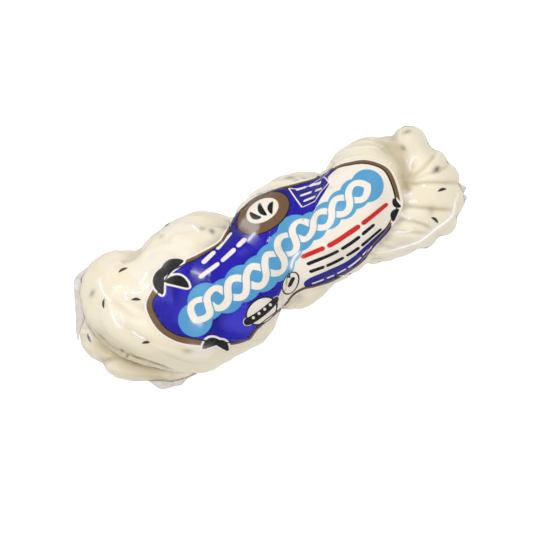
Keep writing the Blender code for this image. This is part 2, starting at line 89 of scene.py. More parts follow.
# The strands, in millimetres along and across the rope's own axis, as the part's solid has them.
QUARTER_TURNS_AT = (-76.0, -52.0, -27.0, -2.0, 15.5, 42.5, 69.0, 92.0)
FIRST_QUARTER = -2
TURN_EASING = 6.0
PLY_OFFSET = 15.5
PLY_ACROSS = 18.0
PLY_ALONG = 24.0
GIRTH_AT = ((-90, 1.0), (-16, 1.0), (4, 0.87), (60, 0.85), (67, 0.8), (74, 0.62))
ROPE_LEFT, ROPE_RIGHT = -30.0, 73.0
PRESSED = 0.9
STRANDS = 11
STRAND_RADIUS = 5.9
THINNEST, THICKEST = 0.92, 1.1
UNEVEN_START = 0.12
TWIST_PER_MM = 6.0
LOOP_TWIST_PER_MM = 1.6
CORES, CORE_SPACING, CORE_RADIUS = 3, 7.5, 9.0
AXIS_CORE_RADIUS = 12.5
AXIS_CORE_LEFT, AXIS_CORE_RIGHT = -62, 80
STEP, BUNDLE_STEP, LOOP_STEP = 3.0, 2.1, 1.0
LOOP = (
    (-36, 15.5, -2, 1.0),
    (-43, 14.5, -2, 0.97),
    (-50, 9, 0, 0.9),
    (-57, 14.8, 1, 1.0),
    (-63.2, 13.6, 1, 1.0),
    (-65, 4, 2, 1.0),
    (-57.5, -5, 2, 1.0),
    (-46, -13, 2, 1.0),
    (-36, -16.5, 0, 1.0),
)
# Single strands as points (x, y, z, radius): the tails under the fold, the strands over its
# front, the last ply's own strands and core, which end over the root of the fan, and a core
# that fills the fan's root.
SINGLE = (
    ((-74, 6, -12, 8.6), (-79, 5, -10.5, 8.6), (-81.5, 1, -10, 8.6), (-79, -4, -12.5, 8.6),
     (-70, -10, -15, 8.6)),
    ((-68, -2, -15, 8.8), (-76.5, -10, -11, 8.8), (-73, -17, -10.5, 8.8), (-62, -22.5, -10.5, 8.8),
     (-50, -23.5, -11.5, 8), (-38, -21, -12, 6)),
    ((-44, 20, -10, 8), (-56, 22, -12, 10.5), (-68, 16, -14, 10.5), (-72, 2, -14, 10.5),
     (-64, -10, -17, 10.5), (-48, -18, -15, 9.5), (-34, -15, -14, 8)),
    ((-44, 12, -14, 11), (-58, 6, -15, 11), (-52, -8, -15, 11)),
    ((-44, 21, 2, 9), (-53, 21.3, 4, 11), (-61.5, 21.6, 6, 12), (-66.8, 20, 6.5, 12.2),
     (-69.4, 13.5, 7.5, 12.2),
     (-70, 5, 8.5, 12), (-66.5, -4, 9, 12), (-60.5, -11.5, 9, 11.5), (-51.5, -18.5, 7.5, 10.5),
     (-41, -23.5, 4.5, 9), (-30, -27, 1, 7)),
    ((-8, 20, 0, 6.5), (-20, 24.5, 4, 7), (-35, 24.5, 8.5, 7.5), (-47, 20, 13, 8.5), (-56, 13, 15, 9.5),
     (-60.5, 4, 15.5, 10), (-57.5, -6, 15, 9.5), (-49, -15, 13.5, 9), (-38, -21.5, 10, 8),
     (-26, -25.5, 5, 7)),
    ((-10, 15, 8, 6.5), (-22, 19.5, 12, 7), (-36, 19, 15, 7.5), (-46, 14.5, 17, 8.5), (-51, 7, 17, 9),
     (-50.5, -1, 17, 9), (-45, -9, 16.5, 8.5), (-36, -15.5, 14, 8), (-26, -20.5, 10, 7.5),
     (-16, -24, 5, 6.5)),
    ((-14, 8, 12, 7), (-26, 12, 15.5, 7.5), (-37, 11, 17.5, 8), (-42, 4, 18, 8.5), (-39, -4, 18, 8),
     (-30, -11, 16.5, 7.5), (-19, -17, 12.5, 7), (-9, -21, 7, 6.5)),
    ((-16, 4, 12, 7.5), (-27, 5, 16, 8), (-32, 0, 17, 8), (-28, -5, 16.5, 8), (-18, -10, 15, 7.5),
     (-6, -16, 10, 7)),
    ((-4, 17, -4, 7), (-14, 24, -3, 7), (-26, 26, -1, 7), (-38, 25, 1, 7), (-47, 21, 2, 7)),
    ((-50, 5, 10, 11), (-40, 4, 12, 11), (-30, 5, 11, 11), (-20, 5, 6, 11)),
    ((36, -14, 3, 6), (43.5, -13.5, 8, 6.2), (50, -11.6, 11.5, 6.4), (57.5, -6.6, 14.5, 6.4),
     (64.5, 1.2, 15.5, 6.4),
     (71.6, 7.2, 14.8, 6.4), (74.8, 13.6, 10, 6.4), (71.2, 19.6, 3, 6.2), (61, 22.3, -4, 6)),
    ((42, -9, 11, 6), (51, -5, 15.5, 6.2), (58.5, 2, 17, 6.4), (66, 9, 16, 6.4), (67, 15, 12, 6.2),
     (61.5, 20, 7, 6), (53, 22, 2, 6), (44, 18, -2, 6)),
    ((46, -6, 13, 6.6), (56, 0, 17, 6.6), (61.5, 8, 16.5, 6.6), (59, 15, 13, 6.6), (51, 18, 9, 6.6),
     (44, 16, 4, 6.6)),
    ((46, 0, 3, 13), (56, 4, 4, 13), (66, 10, 2, 13)),
    ((66, 9, -7, 10), (72, 12.5, -8, 10.4), (78.5, 13.8, -8.5, 10)),
)
FAN = (
    ((72, 12), (83.2, 16.6), 7.8),
    ((74, 8), (83.4, 10), 7.6),
    ((76, 3.5), (89.4, 4.2), 5.4),
    ((74, 1), (90.4, -3.8), 6.4),
    ((66, -3), (87, -11.6), 7.9),
    ((61, -8), (80.3, -18.4), 7.0),
    ((54, -12), (69.6, -20.4), 7.3),
    ((44, -14), (56, -19.6), 7.2),
)
FAN_ROOT_RADIUS = 5.0
FAN_TOP, FAN_BOTTOM = 17.4, -21.0
FAN_POINTS = 15
FAN_REACH_POWER, FAN_HEIGHT_POWER = 0.75, 0.6
REST_HEIGHT = -24.2
RANDOM_SEED = 7
AXIS_BLEND = 8.0  # width over which the two tables below pass into each other
GROOVE_SHADE_DEPTH = 0.9  # depth at which the painted shade between the strands is full

# How much of its width the melted rope keeps above and below its axis: X, share.
KEPT_ABOVE = (
    (-100, 1), (-60, 1), (-56, 0.97), (-52, 0.945), (-48, 0.905), (-44, 0.93), (-40, 0.955), (-32, 0.99),
    (-16, 0.985), (-12, 0.965), (-8, 0.94), (-4, 0.895), (0, 0.975), (8, 0.99), (16, 1.005), (24, 1.035),
    (32, 1.04), (40, 1.03), (44, 0.935), (52, 0.99), (60, 1.03), (68, 1.025), (72, 0.975), (80, 1.02),
    (100, 1),
)
KEPT_BELOW = (
    (-100, 1), (-88, 1), (-84, 0.96), (-80, 0.915), (-76, 0.915), (-72, 0.905), (-66, 0.94), (-60, 1),
    (-48, 1.05), (-40, 1.035), (-24, 1.01), (-12, 1.035), (-4, 1.01), (8, 0.985), (16, 0.945), (24, 0.86),
    (32, 0.9), (40, 0.985), (44, 1.06), (52, 0.99), (60, 0.975), (68, 1.02), (76, 1.06), (88, 1.1),
    (100, 1.05),
)

# Valleys between the plies, the fold, the tail and the fan; away from them the front is calm.
VALLEYS = (
    ((-2, -34), (0, -25), (5, -17), (10, -10), (14, 5), (31, 17), (44, 23), (46, 30)),
    ((74, 30), (76, 23), (80.6, 14.4), (77.5, 6), (75.6, 2.5), (68.8, -2.5), (62, -11), (57.5, -15),
     (45, -19.4)),
    ((-90, 12), (-82, 5), (-78, -8), (-70, -18), (-60, -26), (-52, -33), (-46, -38)),
    ((-50, 36), (-48, 28), (-44, 23)),
)
VALLEY_REACH = 4.5
CALM_FROM, CALM_TO = 0.15, 0.6  # how far up a surface faces where calming starts and is full
LINE_REACH = 4  # half widths beyond which a line has no effect
LINE_FADE = 0.2  # share of its length over which a line fades out at each end
LINE_STEEPNESS = 1.6

# Creases of the front: points, depth and half width.
CREASES = (
    (((-68, 15), (-66, 9.5), (-64.6, 6), (-62, 2), (-57, -1)), 0.7, 1.8),
    (((-67.4, 4), (-66.6, -1), (-63.5, -6.5), (-58.7, -12), (-52, -18.5), (-46, -24),
      (-40, -28)), 0.6, 2.0),
    (((-61.2, 13.5), (-60.4, 9), (-57.5, 5), (-54, 2.4)), 0.5, 1.5),
    (((-48.5, 29), (-51.5, 27.6), (-56, 26.6), (-61, 26.4)), 0.9, 1.8),
    (((-47.5, 27.4), (-40.6, 27.2), (-34.4, 25.8), (-28, 21.5), (-24, 17)), 0.5, 1.5),
    (((-46.5, 24.6), (-37.5, 22.8), (-32.5, 18.2)), 0.5, 1.6),
    (((-42, 30.6), (-32, 31), (-22, 29), (-14, 24)), 0.35, 1.3),
    (((-58, -17), (-53, -22.5), (-47, -27.5), (-39, -31)), 0.4, 1.2),
    (((-51, -18), (-46, -22.8), (-40, -27), (-32, -30.6)), 0.35, 1.2),
    (((-82.2, 10.5), (-81.2, 3.5), (-78.2, -4.4), (-73, -12.8), (-66.4, -20.6), (-59.4, -27.2),
      (-54, -31.6)), 2.6, 2.4),
    (((75, 25), (77.4, 20), (78.2, 14.5), (78, 9), (75.6, 3.5), (70.5, -1.5)), 2.2, 3.4),
    (((71, 24), (74, 19), (75.4, 14), (75, 9), (72.5, 4), (67.5, 0)), 1.3, 3.6),
    (((-88, -7), (-84, -9.8), (-79, -10.4), (-74, -10.2)), 1.3, 1.3),
    (((-4, 21), (6, 24.5), (18, 26.2), (30, 25)), 0.35, 1.1),
    (((2, 23.5), (12, 27), (24, 27.8), (34, 26.5)), 0.3, 1.0),
    (((46, 25), (57.5, 26.5), (67.5, 25.2), (75.6, 20.6), (79, 15)), 0.45, 1.2),
    (((55, 24), (62, 24), (68.5, 21.5), (73.1, 17), (75.6, 11.5), (75, 6.2)), 0.3, 1.3),
    (((76, 2.4), (80.5, 3.3), (86, 5.2), (89.4, 6.8), (93, 9)), 1.4, 1.1),
    (((75.4, 1.3), (80, 1.1), (86, 0.5), (92, 0.1), (96, 0)), 1.0, 0.9),
    (((70, 0.6), (76, -0.6), (82.5, -3), (89, -6.2), (96, -9.2)), 1.5, 1.0),
    (((65.5, -5.5), (70, -8.6), (76, -12.4), (82, -16.2), (88, -19.5)), 1.5, 1.1),
    (((62, -10), (66.5, -14), (71, -18), (75, -23)), 1.3, 1.0),
    (((57, -13.5), (61.5, -17), (67, -20.4), (72, -23.4)), 0.9, 0.9),
    (((49.5, -16.4), (53.5, -21), (58, -25)), 0.9, 1.0),
    (((44, -18.4), (46.5, -22), (50, -26)), 0.9, 1.0),
    (((82, 19), (83.8, 14.5), (82.8, 10)), 0.5, 2.0),
)
# Folds that stand up in the film over the cheese, each with a painted white glint along it: points, height
# and half width.
FILM_FOLDS = (
    (((-67.8, 25.6), (-68.8, 21.9), (-69.1, 17.5), (-68.4, 14.4), (-68.1, 11.2)), 0.22, 0.65),
    (((-68.6, 12), (-70.1, 6.2), (-69.4, 1.4), (-67.8, -0.6)), 0.24, 0.65),
    (((-66.8, 8), (-66.4, 4.8), (-66.8, 1.4)), 0.14, 0.8),
    (((-65.6, -2.5), (-63.4, -6.6), (-61, -9.4)), 0.22, 0.6),
    (((-60.9, 9.4), (-60.9, 12.6), (-59.6, 14.6)), 0.24, 0.65),
    (((-59.6, 14), (-58, 12.3), (-55, 10.8), (-51, 11.3), (-47.6, 13)), 0.24, 0.65),
    (((-54, 13.4), (-50.5, 15.4), (-46.6, 18.2)), 0.22, 0.65),
    (((-21, 28), (-20, 25.4), (-18.6, 22.4)), 0.22, 0.6),
    (((76.5, 5), (78.6, 8.6), (82, 11.4)), 0.2, 0.7),
    (((69, -2.6), (71.2, -3.6), (74.2, -3.4)), 0.2, 0.6),
    (((70, -6), (72.4, -7.6), (74.4, -7.4)), 0.2, 0.6),
    (((64.4, -8.6), (66, -12), (68.4, -14)), 0.2, 0.6),
    (((58, -14.6), (62, -17.4), (67, -18.6)), 0.22, 0.6),
    (((-87.2, 5.6), (-86, 6.4), (-84.6, 5.4), (-84.2, 2.6), (-85, 0)), 0.2, 0.4),
    (((-2.4, 9.4), (0.6, 10.8), (3.6, 11.8)), 0.25, 0.6),
    (((9.4, -10.6), (11.6, -7.4), (14.6, -5.4), (18, -4.6)), 0.3, 0.6),
    (((-30.4, 9.6), (-27.6, 6.6), (-26.4, 3.2)), 0.15, 0.7),
    (((-39.6, -9), (-38, -12.6), (-35.6, -15)), 0.15, 0.7),
    (((94, -10.6), (88.8, -16), (85, -20.6), (76, -22.5), (67.5, -24.2), (57.5, -23), (50, -21.5),
      (45, -19.4)), 0.3, 0.5),
)

CREASE_HEIGHT = 0.32  # height at which a fold's painted white glint is full
CREASE_COVER, GLARE_COVER, LEAST_RIPPLE = 0.55, 0.22, 0.4  # how strongly the painted glints on the folds and the painted sheen whiten the film, and the least ripple of the glints
GLARE_WIDTH = 2.2
# Valleys with painted shade, where little light reaches, as points, strength and half width.
SHADED = (
    (((70, 26), (74, 20), (75, 14), (74, 8), (71.5, 2), (68, -4)), 1.0, 3.8),
    (((-84, 9), (-81.6, -1), (-77, -10.4), (-71.4, -19), (-64, -26.6), (-56, -32)), 1.0, 4.4),
)
# Crests where a soft sheen is painted white onto the film, as points and strength.
GLARES = (
    (((-46, 22), (-38, 22.6), (-30, 21.4), (-24, 18.6)), 0.9),
    (((-36, 28), (-28, 29), (-20, 27.6)), 0.7),
    (((-48, -20), (-42, -25), (-36, -28)), 0.4),
    (((-55, 17), (-49, 20.6), (-42, 20.4), (-36, 19)), 0.7),
    (((-66, 27), (-60, 28.6), (-54, 28)), 0.25),
    (((2, 27.4), (12, 29), (22, 28.6)), 0.5),
    (((-0.6, 19.6), (2.4, 15.6), (6, 12.6)), 0.5),
    (((50, 25.4), (58, 25), (64, 23)), 0.2),
)

# Film fringes: the outer edge, the edge at the cheese, and their height.
FRINGES = {
    "left": (
        ((-71.5, 31.9), (-77.2, 30.6), (-79.8, 28.6), (-81.6, 24.8), (-84.2, 18.6), (-86.6, 13.2),
         (-88.7, 9), (-90, 4.6)),
        ((-71, 30), (-75.4, 28), (-77.4, 24.6), (-79, 20.4), (-80.4, 16), (-83, 11.4), (-86.8, 8),
         (-89.6, 4.2)),
        1.0,
    ),
    "lower": (
        ((-71, -24.5), (-69, -28.8), (-67, -32), (-63.8, -33.4), (-60.6, -33.8), (-57.5, -34.7),
         (-53.8, -33.4), (-49, -33.4)),
        ((-67, -22), (-64.4, -24.4), (-61.5, -26), (-59, -27.5), (-57, -29), (-55, -30.5),
         (-52, -31.4), (-49, -31.8)),
        -8.0,
    ),
    "right": (
        ((92.5, -4.5), (95, -8.9), (97, -12), (94.6, -14.4), (95.2, -16.4), (88.6, -21.4), (84.5, -24.4)),
        ((87, -4), (89, -8), (90, -11), (89, -14), (87.5, -16.4), (83.5, -19.4), (80, -22)),
        0.0,
    ),
}
FRINGE_COLUMNS, FRINGE_ROWS = 90, 10
RAGGED, RAGGED_SCALE = 0.05, 0.3
WAVE_SCALE, FINE_WAVE, FINE_WAVE_SHARE = 0.16, 3.0, 0.35
INNER_WAVE = 0.4  # share of the waves' height that is left at the cheese
FRINGE_COVER, FRINGE_SHEEN = 0.3, 0.5  # how white the fringes are, and how much more at a slant

# Caraway seeds on the front, as X, Y and heading in degrees; then grey shadows of buried ones.
SHOWN_SEEDS = (
    (-57, 23, 5),
    (-57.5, 8.5, -28),
    (-62, -10.5, -12),
    (-85, 3, 88),
    (-71, 13.5, 60),
    (86, -8.5, -12),
    (77, -19, -65),
)
BURIED_SEEDS = (
    (-74, 20, 20, 0.7),
    (-70, -12, -50, 0.6),
    (-47, -22, -25, 0.6),
    (-35, 29, 70, 0.5),
    (-14, 21, 80, 1.0),
    (-17.5, 24, 0, 0.6),
    (28, 27, -20, 0.8),
    (30, 24.5, 60, 0.5),
    (84, 22, 10, 0.8),
    (88, 1, -3, 1.2),
    (77.5, -14.5, 40, 0.4),
    (79, 16, -70, 0.7),
)
BURIED_HALF_LENGTH, BURIED_HALF_WIDTH = 2.2, 1.3
SEED_RIDGES, SEED_RIDGE_HEIGHT, SEED_TAPER, SEED_BEND, SEED_SUNK = 5, 0.13, 0.35, 0.5, 0.25
OTHER_SEEDS = 30
OTHER_SEEDS_LEFT, OTHER_SEEDS_RIGHT = -78.0, 88.0
GOLDEN_ANGLE = 137.5
OTHER_SEEDS_ARC = (8.0, -188.0)
LOWEST_SEED = REST_HEIGHT + 2.4

# The print, in millimetres as seen from above: its outline and the shapes of its design.
PRINT_OUTLINE = (
    (-56, 4), (-56, -7), (-51, -16), (-42, -23), (-30, -29), (-20, -30.5), (-14.5, -28), (-6, -26),
    (1, -23.8), (6, -21.8), (11, -21.6), (16, -22.8), (26, -23.6), (38, -22.3), (47, -17.8), (57, -14),
    (66, -8), (68.5, -3), (70, 5), (69.5, 11), (66, 16), (61, 20), (55, 22), (50, 23), (44, 22.4),
    (40, 22.5), (36, 23), (27.5, 25), (20, 26.2), (12, 26.5), (4, 25.5), (-2.5, 23), (-10, 18),
    (-15, 15.7), (-30, 15.7), (-40, 15.4), (-50, 10),
)
RIM_WIDTH_AT = ((-60, 2.9), (-45, 2.9), (-36, 1.6), (0, 1.5), (40, 1.3), (60, 1.9), (70, 2.0))
MILK_FIELD = (
    (18, -3), (12.5, -5.6), (9.5, -10.5), (4.5, -14.5), (0.5, -17.5), (-2, -21), (-4, -30), (30, -34),
    (62, -24), (80, -6), (78, 12), (70, 19), (58, 21), (51.5, 21.6), (43, 19.6), (42, 16.5),
    (35, 12), (29.5, 8.2), (24, 6),
)
BAND_ROUNDS = (
    (-38, -11, 7.6), (-30, -6, 8.4), (-21, -7.6, 7.8), (-12, -6, 8.3), (-3, -5.6, 8.3), (5, -4, 8.8),
    (12, 0, 7.8), (19, 3.4, 8.4), (27, 3, 6.4), (35, 4.2, 6.2), (43, 5.6, 6.6), (50, 7.4, 6.8),
    (56.5, 8.2, 7.4),
)
TWIST_SWING = 0.56  # of the band's half width
TWIST_BULGE = 0.75  # under 1 makes the strokes stay apart for longer
TWIST_CROSSING = 10.4
TWIST_HALF_WIDTH = 1.6
TWIST_GAP = 0.55
TWIST_ENDS = 0.3  # share of a crossing over which the two strokes join at each end
DISC = (10, 18, 13, 8, 6)
DISC_WINDOW = (10.2, 19.2, 7.8, 4.9, 4)
PENNANT = ((25.2, 23.2), (26.6, 12.8), (33, 12.6), (42.2, 17.2), (41.4, 20.6))
WEIGHT_FIELD = (
    (12, -18.4), (15, -17.2), (25, -17.7), (35, -17.7), (45, -15.1), (58, -11.8), (56.5, -14.4),
    (47, -18.6), (38, -21.8), (26, -23.2), (18, -22.3), (13, -20.6),
)
# Rows of plain bars that stand where lines of text would: path, half width, colour, bar lengths.
BAR_ROWS = (
    (((17.5, -7.3), (30, -8), (40, -7), (50, -5.4), (60, -3.2)), 1.35, "red", (7, 12, 10)),
    (((18, -11.2), (30, -12), (40, -11.2), (51, -8.8)), 0.95, "black", (14, 9, 6)),
    (((17.5, -14.8), (28, -15.8), (40, -15), (53, -12)), 0.95, "black", (6, 8, 6, 12)),
    (((16, -20), (26, -20.9), (36, -20.2), (46, -17)), 0.6, "white", (5, 3, 4, 7, 5)),
    (((-23, 10.4), (-15, 13), (-7.5, 16.2)), 1.25, "white", (6, 9)),
    (((-27, 5.2), (-15, 7.4), (-3, 11)), 1.25, "white", (11, 8, 4)),
    (((28.4, 20.8), (33, 20), (38.6, 18.9)), 0.75, "white", (4, 5)),
    (((28.8, 17.6), (33, 17), (37.6, 16.3)), 0.75, "white", (6, 3)),
    (((29, 14.8), (33.4, 14.4)), 0.75, "white", (1,)),
)
# Caraway motifs along the rim: X, Y, length, width, heading.
RIM_SEEDS = (
    (-44, 11.4, 12.5, 4.8, 62),
    (-37.4, 14.6, 13, 4.8, 12),
    (-37.6, 7.4, 11, 4.4, -40),
    (-36.4, -23.8, 9, 3.8, -8),
    (-32.6, -26.6, 7.5, 3.4, -58),
    (62, -8.8, 6.2, 2.8, 40),
    (64.8, -4.6, 5.2, 2.4, 105),
)
SEAL = (-10, -20.6, 7.4, 5.3, 10)
SEAL_PLATE, SEAL_PLATE_HALF_WIDTH = ((-17.4, -22.2), (-2.6, -19.4)), 2.0
SEAL_DOTS = tuple((-14.6 + 3.1 * i, -21.7 + 0.58 * i, 0.7, 0.7, 0) for i in range(4))
STAMP = (7, -15.4, 5.2, 3.2, 38)
STAMP_BAR, STAMP_BAR_HALF_WIDTH = ((6.4, -16), (8.6, -14.2)), 1.2
FINE_LINE = 0.33  # half width of the thin outlines
BAR_GAP, BAR_GAP_PER_HALF_WIDTH = 1.2, 1.6
BAR_SLACK = 0.3  # how far past its end a bar may take its last point
EDGE_REACH = 8.0  # how far inside the print's edge distances are worked out
CARAWAY_ARCH, CARAWAY_POINTED, CARAWAY_BLUNT = 0.16, 0.6, 0.12
SPARE = 0.9  # how far the print's mesh goes on beyond its ink
DISC_SEEDS = ((10.2, 19.6, 6.6, 2.4, 94), (6.2, 18.6, 5.8, 2.2, 128), (14.2, 18.6, 5.8, 2.2, 60))
ART_RADIUS = 30.0
ART_REACH = 57.0  # how far round the rope from its top the print may lie
INK_SOFTNESS = 0.16
MOTIF_RIM = 1.0  # white line round each motif
HALO = 1.25  # white line outside the print's rim
BRIDGED = 0.7  # most that the film stands off the cheese over its grooves, away from the print
TAUT_STEP = 0.8  # spacing of the grid of taut film under the print
PRINT_EASING = 3.5  # how far beyond the print its film is still taut
UPWARD = 0.4  # how far up a surface faces where its film is fully taut
# rounds of smoothing and depth that set the painted shade in the wide valleys
VALLEY_SHADE_ROUNDS, VALLEY_SHADE_DEPTH = 400, 3.4
FARTHEST = 3.0  # distances beyond this many millimetres aren't worked out

LOOKED_AT = (0.73, -3.91)  # where on the rope the camera and the lights aim
SENSOR_WIDTH = 36.0
FLOOR_GLOW, FLOOR_GLOW_SHARE = 1.3, 0.6  # how bright the camera sees the floor, and how fully
FLOOR_SIZE = 3.0
# Lights, in metres from the rope's middle: name, shift along and across it, height, size and watts.
LIGHTS = (
    ("overhead", (-0.12, 0.24), 0.9, 0.4, 1.25),
    ("glint_left", (-0.2, 0.25), 0.5, 0.04, 0.25),
    ("glint_right", (0.3, 0.2), 0.5, 0.04, 0.25),
)


def srgb(red, green, blue):
    """A colour of the 0 to 255 scale as Blender's linear one."""
    shares = [value / 255 for value in (red, green, blue)]
    return tuple(s / 12.92 if s <= 0.04045 else ((s + 0.055) / 1.055) ** 2.4 for s in shares)


def rope_to_model():
    """The matrix from the rope's millimetres to the part's frame."""
    low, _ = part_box(NODE)
    return Matrix.Translation(low) @ Matrix.Scale(MM, 4) @ Matrix.Translation(-Vector(ROPE_LOW))


def between(table, x):
    for (x0, y0), (x1, y1) in zip(table, table[1:]):
        if x <= x1:
            return y0 + (y1 - y0) * max((x - x0) / (x1 - x0), 0.0)
    return table[-1][1]


def smooth_through(points, step):
    """A smooth curve through the points, as points about step apart."""
    points = [Vector(p) for p in points]
    ends = [points[0] * 2 - points[1], *points, points[-1] * 2 - points[-2]]
    path = []
    for a, b, c, d in zip(ends, ends[1:], ends[2:], ends[3:]):
        count = max(2, round((c - b).length / step))
        for t in (i / count for i in range(count)):
            bend = (2 * a - 5 * b + 4 * c - d) * t**2 + (3 * b - a - 3 * c + d) * t**3
            path.append((2 * b + (c - a) * t + bend) / 2)
    return path + [points[-1]]


def line_points(points, step):
    return [tuple(p) for p in smooth_through(points, step)]


class Wire:
    """A shader socket that works in sums: each operator adds its Math node."""

    def __init__(self, finish, socket):
        self.finish = finish
        self.socket = socket

    def math(self, operation, first, second, clamp=False):
        settings = {"operation": operation, "use_clamp": clamp}
        return self.finish.add("ShaderNodeMath", settings, {0: first, 1: second})

    def __add__(self, other):
        return self.math("ADD", self, other)

    def __radd__(self, other):
        return self.math("ADD", other, self)

    def __sub__(self, other):
        return self.math("SUBTRACT", self, other)

    def __rsub__(self, other):
        return self.math("SUBTRACT", other, self)

    def __mul__(self, other):
        return self.math("MULTIPLY", self, other)

    def __rmul__(self, other):
        return self.math("MULTIPLY", other, self)

    def __truediv__(self, other):
        return self.math("DIVIDE", self, other)

    def __rtruediv__(self, other):
        return self.math("DIVIDE", other, self)

    def clamped(self):
        return self.math("ADD", self, 0.0, clamp=True)

    def over(self, start, gain):
        """0 at this start, rising by this gain."""
        return (self - start) * gain

    def edge(self, softness):
        """1 where the distance is above 0 and 0 below, over this softness."""
        return (self / softness + 0.5).clamped()


class Finish:
    """One material and the nodes in it."""

    def __init__(self, name):
        self.material = bpy.data.materials.new(name)
        self.material.use_nodes = True
        self.tree = self.material.node_tree
        self.tree.nodes.clear()

    def add(self, kind, settings=None, sockets=None, out=0):
        """Add a node, with its settings and the values or links of its sockets; its output as a Wire."""
        node = self.tree.nodes.new(kind)
        for key, value in (settings or {}).items():
            setattr(node, key, value)
        for key, value in (sockets or {}).items():
            socket = node.inputs[key]
            if isinstance(value, Wire):
                self.tree.links.new(value.socket, socket)
            elif socket.type == "RGBA":
                socket.default_value = (*tuple(value)[:3], 1.0)
            else:
                socket.default_value = value
        return Wire(self, node.outputs[out])

    def mix(self, under, over, mask):
        settings = {"data_type": "RGBA", "clamp_factor": True}
        return self.add("ShaderNodeMix", settings, {0: mask, 6: under, 7: over}, out=2)

    def noise(self, scale, detail=3.0, roughness=0.5, stretch=(1.0, 1.0, 1.0), distortion=0.0):
        spot = self.add("ShaderNodeTexCoord", out=3)
        sockets = {
            "Vector": self.add("ShaderNodeMapping", None, {"Vector": spot, "Scale": stretch}),
            "Scale": scale,
            "Detail": detail,
            "Roughness": roughness,
            "Distortion": distortion,
        }
        return self.add("ShaderNodeTexNoise", None, sockets)

    def attribute(self, name):
        return self.add("ShaderNodeAttribute", {"attribute_name": name}, out=2)

    def bump(self, height, distance, strength=1.0):
        sockets = {"Height": height, "Distance": distance, "Strength": strength}
        return self.add("ShaderNodeBump", None, sockets)

    def principled(self, sockets):
        return self.add("ShaderNodeBsdfPrincipled", None, sockets)

    def layered(self, under, over, share):
        return self.add("ShaderNodeMixShader", None, {0: share, 1: under, 2: over})

    def finished(self, shader):
        node = self.tree.nodes.new("ShaderNodeOutputMaterial")
        self.tree.links.new(shader.socket, node.inputs["Surface"])
        return self.material


def link(name, data):
    made = bpy.data.objects.new(name, data)
    bpy.context.scene.collection.objects.link(made)
    return made


def evaluated_mesh(obj):
    bpy.context.view_layer.update()
    graph = bpy.context.evaluated_depsgraph_get()
    return bpy.data.meshes.new_from_object(obj.evaluated_get(graph))


@contextlib.contextmanager
def edited(mesh):
    """The mesh opened for editing, and written back at the end."""
    edit = bmesh.new()
    edit.from_mesh(mesh)
    yield edit
    edit.to_mesh(mesh)
    edit.free()


def mesh_from_curve(curve):
    """The curve's mesh with its caps welded on; the curve is removed."""
    mesh = evaluated_mesh(curve)
    bpy.data.objects.remove(curve, do_unlink=True)
    with edited(mesh) as edit:
        bmesh.ops.remove_doubles(edit, verts=edit.verts, dist=WELD)
        bmesh.ops.recalc_face_normals(edit, faces=edit.faces)
    return mesh


def mesh_from_edit(edit, name):
    mesh = bpy.data.meshes.new(name)
    edit.to_mesh(mesh)
    edit.free()
    return mesh


def apply_modifiers(obj):
    mesh = evaluated_mesh(obj)
    obj.modifiers.clear()
    obj.data = mesh


def read_rows(mesh, kind):
    """The vertices' co or normal, one row each."""
    flat = np.empty(len(mesh.vertices) * 3, np.float32)
    mesh.vertices.foreach_get(kind, flat)
    return flat.reshape(-1, 3).astype(np.float64)


def write_places(mesh, places):
    mesh.vertices.foreach_set("co", places.astype(np.float32).reshape(-1))
    mesh.update()


def write_attribute(mesh, name, values):
    layer = mesh.attributes.new(name, "FLOAT", "POINT")
    layer.data.foreach_set("value", np.asarray(values, np.float32))


def places_and_normals(mesh):
    return read_rows(mesh, "co"), read_rows(mesh, "normal")


def add_smoothing(obj, rounds):
    soften = obj.modifiers.new("soften", "SMOOTH")
    soften.factor = SMOOTH_FACTOR
    soften.iterations = rounds


def softened_places(mesh, rounds):
    """Where the vertices lie after this many rounds of smoothing."""
    helper = link("softened", mesh.copy())
    add_smoothing(helper, rounds)
    smoothed = evaluated_mesh(helper)
    places = read_rows(smoothed, "co")
    bpy.data.objects.remove(helper, do_unlink=True)
    return places


def depth_below_softened(mesh, places, normals, rounds):
    """How far each place lies under the mesh once it is smoothed this many rounds."""
    return ((softened_places(mesh, rounds) - places) * normals).sum(axis=1)


def seen_from_above(surface, x, y):
    """Where a ray straight down meets the surface, and its normal there; both None where it misses."""
    place, normal, _, _ = surface.ray_cast(Vector((x, y, FAR)), Vector((0, 0, -1)))
    return place, normal


def stretched_height(surface, spots, rounds):
    """Height at each spot of a film pulled taut over the surface, which it can't sink into."""
    step = TAUT_STEP
    low, high = spots.min(axis=0) - step, spots.max(axis=0) + step
    xs, ys = np.arange(low[0], high[0] + step, step), np.arange(low[1], high[1] + step, step)
    ground = np.zeros((len(xs), len(ys)))
    for i, x in enumerate(xs):
        for j, y in enumerate(ys):
            place, _ = seen_from_above(surface, x, y)
            ground[i, j] = 0.0 if place is None else place.z
    film = ground.copy()
    for _ in range(rounds):
        pulled = (film[2:, 1:-1] + film[:-2, 1:-1] + film[1:-1, 2:] + film[1:-1, :-2]) / 4
        film[1:-1, 1:-1] = np.maximum(ground[1:-1, 1:-1], pulled)
    across, along = (spots[:, 0] - low[0]) / step, (spots[:, 1] - low[1]) / step
    i, j = across.astype(int), along.astype(int)
    a, b = across - i, along - j
    near = film[i, j] * (1 - b) + film[i, j + 1] * b
    far = film[i + 1, j] * (1 - b) + film[i + 1, j + 1] * b
    return near * (1 - a) + far * a


def finish_piece(obj, material):
    """Bring a piece from the rope's millimetres to the part's frame, and hand it over."""
    obj.data.transform(rope_to_model())
    obj.data.materials.clear()
    obj.data.materials.append(material)
    obj.data.shade_smooth()
    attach(obj, "root")
    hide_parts(NODE)


def in_rope_frame(obj):
    """A copy of a finished piece's mesh, back in the rope's millimetres."""
    mesh = obj.data.copy()
    mesh.transform(rope_to_model().inverted())
    return mesh


def surface_of(mesh):
    edit = bmesh.new()
    edit.from_mesh(mesh)
    tree = BVHTree.FromBMesh(edit)
    edit.free()
    return tree


